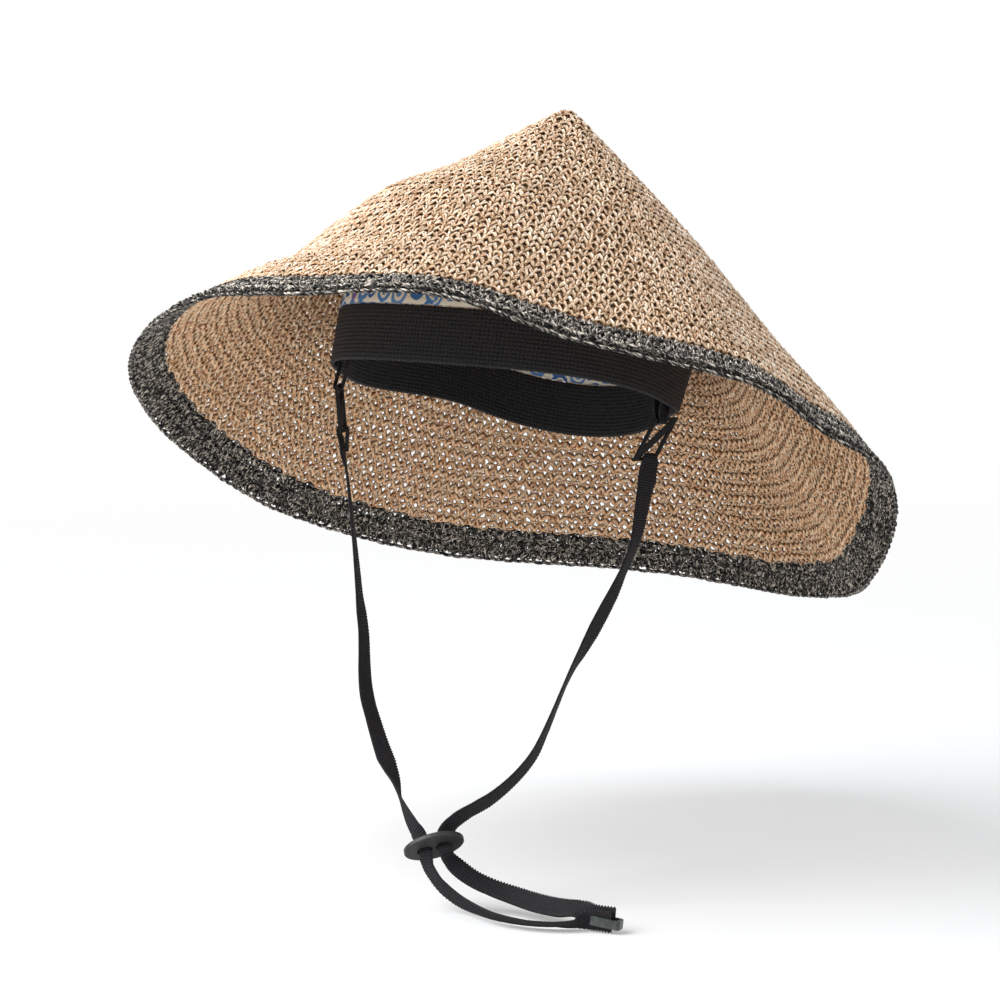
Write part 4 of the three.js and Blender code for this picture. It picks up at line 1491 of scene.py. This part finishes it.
class Strand:
    """One strand of the chin strap, from its fold on the link to its end in the clip."""

    # The stopper's middle, the line of its two slots, its facing, and in mm how far each slot is
    # from the middle and where the rows threaded through it lie
    STOPPER = np.array([5.3, -99.8, -185.2])
    ALONG = unit(np.array([0.9, 0.364, 0.243]))
    FACING = unit(np.array([0.451, -0.596, -0.664]))
    SLOT_OFFSET = 4
    THREADED = np.array([-3.2, 0.0, 3.2])

    # Section of the tape: places across as shares of its half width, and the face's height there
    KNOTS = np.array([1, 0.94, 0.8, 0.45, 0, -0.45, -0.8, -0.94, -1])
    CROWN = np.array([0.35, 0.75, 1, 0.96, 0.9, 0.96, 1, 0.75, 0.35])

    # Row of the fold right under the link's bar, and how many rows past it the tape takes to widen
    FOLD_ROW = 5.0
    FOLD_SPREAD = 2.2

    def __init__(
        self, finishes: Finishes, fitting: Fitting, upper: np.ndarray, tail: np.ndarray,
        size: TapeSize = TapeSize(),
    ) -> None:
        self.finishes = finishes
        self.fitting = fitting
        self.upper = upper
        self.tail = tail
        self.size = size
        self.slot_side = 1 if fitting.side is Side.LEFT else -1
        self.slot = self.STOPPER + self.SLOT_OFFSET * self.slot_side * self.ALONG

    def fold(self, first: np.ndarray) -> tuple[np.ndarray, np.ndarray]:
        """Rows of the fold over the link's bottom bar, short leg first.

        Args:
            first: first point of the route below the fold.

        Returns:
            Points and the directions across the tape at them.
        """
        place, size = self.fitting, self.size
        bar = unit(np.array(place.along))
        centre = np.array(place.bottom_bar) + place.shift * bar
        down = unit(first - centre)
        outward = unit(np.cross(bar, down))
        outward = outward if outward[0] * centre[0] > 0 else -outward
        radius = size.bar_radius + size.bar_gap + size.thickness / 2
        leg = size.thickness / 2 + size.leg_gap
        diagonal = radius * np.sqrt(0.5)
        offsets = np.array([
            (-leg, size.fold_leg), (-leg - 0.4, size.fold_leg / 2), (-radius, 1.2), (-radius, 0),
            (-diagonal, -diagonal), (0, -radius), (diagonal, -diagonal), (radius, 0),
            (radius - 0.2, 1.5), (leg + 0.1, size.fold_leg - 3), (leg, size.fold_leg + 1),
        ])
        points = centre + offsets[:, :1] * outward + offsets[:, 1:] * down
        return points, np.repeat(bar[None], len(points), axis=0)

    @staticmethod
    def routed(rows: np.ndarray) -> tuple[np.ndarray, np.ndarray]:
        """Points of a route table and the directions across the tape at them."""
        points = rows[:, :3]
        ahead = np.concatenate([points[1:], points[-1:]]) - np.concatenate([points[:1], points[:-1]])
        tangent = unit(ahead)
        level = unit(np.cross(tangent, SIGHT))
        back = unit(SIGHT - (tangent @ SIGHT)[:, None] * tangent)
        turn = np.radians(rows[:, 3:])
        return points, np.cos(turn) * level + np.sin(turn) * back

    @staticmethod
    def curve(points: np.ndarray, share: np.ndarray) -> np.ndarray:
        """Centripetal Catmull-Rom curve through points, at shares counted in rows."""
        padded = np.concatenate([2 * points[:1] - points[1:2], points, 2 * points[-1:] - points[-2:-1]])
        row = np.minimum(np.floor(share).astype(int), len(points) - 2)
        t = (share - row)[:, None]
        p0, p1, p2, p3 = (padded[row + k] for k in range(4))
        pairs = ((p0, p1), (p1, p2), (p2, p3))
        d0, d1, d2 = (np.sqrt(np.linalg.norm(b - a, axis=1))[:, None] for a, b in pairs)
        m1 = ((p1 - p0) / d0 - (p2 - p0) / (d0 + d1) + (p2 - p1) / d1) * d1
        m2 = ((p2 - p1) / d1 - (p3 - p1) / (d1 + d2) + (p3 - p2) / d2) * d1
        a = 2 * p1 - 2 * p2 + m1 + m2
        b = -3 * p1 + 3 * p2 - 2 * m1 - m2
        return ((a * t + b) * t + m1) * t + p1

    def rows(self) -> tuple[np.ndarray, np.ndarray]:
        """Points from the fold to the tape's end, and the directions across the tape at them."""
        upper, upper_across = self.routed(self.upper)
        tail, tail_across = self.routed(self.tail)
        threaded = self.slot + self.THREADED[:, None] * self.FACING
        threaded_across = np.repeat(self.slot_side * self.ALONG[None], len(threaded), axis=0)
        folded, folded_across = self.fold(upper[0])
        points = np.concatenate([folded, upper, threaded, tail])
        return points, np.concatenate([folded_across, upper_across, threaded_across, tail_across])

    def profile(self, centre: np.ndarray, place: np.ndarray) -> np.ndarray:
        """Section of the tape at each point of its middle line.

        Args:
            centre: middle line, a step apart.
            place: place of each point, counted in rows.

        Returns:
            (n, m, 2) offsets across and offsets along the face normal.
        """
        size = self.size
        run = np.arange(len(centre)) * size.step
        from_slot = np.linalg.norm(centre - self.slot, axis=1)
        squeeze = bell(np.maximum(0, from_slot - size.threaded_half), size.threaded_spread)
        pinch = bell(np.maximum(0, place - self.FOLD_ROW), self.FOLD_SPREAD)
        open_width = size.width + (size.threaded_width - size.width) * squeeze
        half = (open_width + (size.fold_width - open_width) * pinch) / 2
        thick = (size.thickness + (size.threaded_thickness - size.thickness) * squeeze) / 2
        free = 1 - np.maximum(squeeze, pinch)
        wave = (0.5 + 0.5 * np.cos(2 * np.pi * run / size.loop_pitch)) ** 0.7 - 0.55
        loops = free * size.loop_reach * wave
        ribs = size.rib_height * np.cos(2 * np.pi * run / size.rib)
        turns = run[:, None] / size.rib + self.KNOTS[None, :] * size.slant
        slanted = size.slanted_height * np.cos(2 * np.pi * turns)
        relief = (ribs[:, None] + slanted) * np.minimum(1, self.CROWN)
        face = (thick - 0.1)[:, None] * self.CROWN[None, :] + relief
        out = half[:, None] * self.KNOTS[None, :]
        out[:, 0] += loops
        out[:, 1] += 0.5 * loops
        front = np.stack([out, face], axis=-1)
        back = np.stack([out[:, ::-1], -face[:, ::-1]], axis=-1)
        return np.concatenate([front, back], axis=1)

    def lay_on_table(self, piece: bpy.types.Object) -> None:
        """Lifts what would lie below the table onto it."""
        co = np.empty(len(piece.data.vertices) * 3, np.float32)
        piece.data.vertices.foreach_get("co", co)
        co[2::3] = np.maximum(co[2::3], self.size.table * MM)
        piece.data.vertices.foreach_set("co", co)

    def build(self) -> bpy.types.Object:
        """Builds the tape: cross ribs on both faces and a row of small loops on one edge.

        Returns:
            The strand.
        """
        size = self.size
        points, across_rows = self.rows()
        dense = np.linspace(0, len(points) - 1, len(points) * 60)
        length = line_length(self.curve(points, dense))
        place = np.interp(np.arange(0, length[-1], size.step), length, dense)
        centre = self.curve(points, place)
        row = np.minimum(np.floor(place).astype(int), len(points) - 2)
        blend = (place - row)[:, None]
        across = unit(across_rows[row] * (1 - blend) + across_rows[row + 1] * blend)
        name = f"chin_strap_{self.fitting.side.value}"
        piece = tape_mesh(f"{name}_tape", centre, across, self.profile(centre, place))
        self.lay_on_table(piece)
        finish_piece(piece, name, self.finishes.of(TAPE_BLACK))
        return piece


class MouldedPiece:
    """Plastic piece that keeps the solid's form, with its edges rounded."""

    SEGMENTS = 3
    SHARPEST = 32

    def __init__(self, finishes: Finishes, node: str, finish: PlainFinish, edge: float) -> None:
        self.finishes = finishes
        self.node = node
        self.finish = finish
        self.edge = edge

    def build(self) -> bpy.types.Object:
        """Builds the piece from the node's mesh.

        Returns:
            The piece.
        """
        name = f"{self.node}_part"
        source = bpy.data.objects[self.node]
        mesh = source.data.copy()
        mesh.name = name
        built = bpy.data.objects.new(name, mesh)
        bpy.context.collection.objects.link(built)
        built.matrix_world = source.matrix_world.copy()
        bevel = built.modifiers.new("Rounded edges", "BEVEL")
        bevel.width = self.edge * MM
        bevel.segments = self.SEGMENTS
        bevel.limit_method = "ANGLE"
        bevel.angle_limit = np.radians(self.SHARPEST)
        mesh.shade_smooth()
        return finish_piece(built, self.node, self.finishes.of(self.finish))


@dataclass(frozen=True)
class Studio:
    """Camera, floor and soft lights, in mm."""

    camera: Point = (616.0, -1538.7, 136.0)
    azimuth: float = 22.0
    elevation: float = 6.5
    lens: float = 139.06
    sensor: float = 36.0
    clip: tuple[float, float] = (0.05, 50.0)
    floor: float = -213.2
    floor_reach: float = 6000.0
    floor_colour: Colour = (0.74, 0.755, 0.77)
    glow_from: float = -0.6
    glow_to: float = 1.8
    sky: float = 0.50
    # Lights: name, place in mm, watts, side in mm
    lights: tuple[tuple[str, Point, float, float], ...] = (
        ("Key", (-1150, -1200, 1450), 87.0, 1800),
        ("Fill", (1500, -1100, 500), 5.0, 1200),
        ("Back", (300, 1500, 1300), 8.0, 1200),
    )

    def place_camera(self) -> None:
        """Makes the camera at the photo's viewing angle."""
        data = bpy.data.cameras.new("Camera")
        data.lens = self.lens
        data.sensor_width = self.sensor
        data.clip_start, data.clip_end = self.clip
        camera = bpy.data.objects.new("Camera", data)
        bpy.context.collection.objects.link(camera)
        camera.location = Vector(self.camera) * MM
        camera.rotation_euler = (np.radians(90 - self.elevation), 0, np.radians(self.azimuth))
        bpy.context.scene.camera = camera

    def build(self) -> None:
        """Makes the floor, the world and the lights."""
        signs = np.array([(-1, -1, 0), (1, -1, 0), (1, 1, 0), (-1, 1, 0)])
        corners = self.floor_reach * signs + np.array([0, 0, self.floor])
        floor = make_object("Floor", corners, np.array([[0, 1, 2, 3]]), np.zeros((1, 4, 2)), soft=False)
        floor.data.materials.append(self.floor_finish())
        world = bpy.data.worlds.new("World")
        world.use_nodes = True
        background = world.node_tree.nodes["Background"]
        background.inputs["Color"].default_value = (1, 1, 1, 1)
        nodes = NodeTree(world.node_tree)
        seen = nodes.add("LightPath").outputs["Is Camera Ray"]
        strength = nodes.add("MapRange", {"Value": seen, "To Min": self.sky})
        nodes.join(strength.outputs[0], background.inputs["Strength"])
        bpy.context.scene.world = world
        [self.light(*row) for row in self.lights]
        bpy.context.scene.view_settings.view_transform = "Standard"

    def floor_finish(self) -> bpy.types.Material:
        """Pale floor that glows more with distance, until it is as white as the backdrop."""
        material = bpy.data.materials.new("Floor")
        material.use_nodes = True
        nodes = NodeTree(material.node_tree)
        shader = material.node_tree.nodes["Principled BSDF"]
        place = nodes.add("TexCoord").outputs["Object"]
        away = nodes.add("VectorMath", {0: place}, operation="LENGTH").outputs["Value"]
        span = {"Value": away, "From Min": self.glow_from, "From Max": self.glow_to}
        far = nodes.add("MapRange", span, interpolation_type="SMOOTHSTEP").outputs[0]
        nodes.join(nodes.mix(far, self.floor_colour, (0.0, 0.0, 0.0)), shader.inputs["Base Color"])
        nodes.join(far, shader.inputs["Emission Strength"])
        shader.inputs["Emission Color"].default_value = (1, 1, 1, 1)
        shader.inputs["Roughness"].default_value = 1.0
        shader.inputs["Specular IOR Level"].default_value = 0.0
        return material

    def light(self, name: str, place: Point, power: float, size: float) -> bpy.types.Object:
        """Square soft light aimed at the hat.

        Args:
            name: light name.
            place: position in mm.
            power: watts.
            size: side in mm.

        Returns:
            The light.
        """
        data = bpy.data.lights.new(name, "AREA")
        data.energy = power
        data.size = size * MM
        light = bpy.data.objects.new(name, data)
        bpy.context.collection.objects.link(light)
        light.location = Vector(place) * MM
        light.rotation_euler = (-light.location).to_track_quat("-Z", "Y").to_euler()
        return light


def main() -> None:
    """Builds the hat in order."""
    logging.basicConfig(level=logging.INFO, format="%(message)s")
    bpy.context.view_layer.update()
    finishes = Finishes()
    studio = Studio()
    studio.place_camera()
    for node, finish, edge in (
        ("hook_left", LINK_PLASTIC, 0.3), ("hook_right", LINK_PLASTIC, 0.3),
        ("stopper", STOPPER_PLASTIC, 0.25), ("end_clip", CLIP_PLASTIC, 0.8),
    ):
        MouldedPiece(finishes, node, finish, edge).build()
    Strand(finishes, FITTINGS[0], LEFT_UPPER, LEFT_TAIL).build()
    Strand(finishes, FITTINGS[1], RIGHT_UPPER, RIGHT_TAIL).build()
    KnittedCone(finishes).build()
    ChainEdge(finishes).build()
    Headband(finishes).build()
    Lining(finishes).build()
    for fitting in FITTINGS:
        ClothTab(finishes, fitting).build()
    studio.build()
    log.info("hat built")


if __name__ == "__main__":
    main()
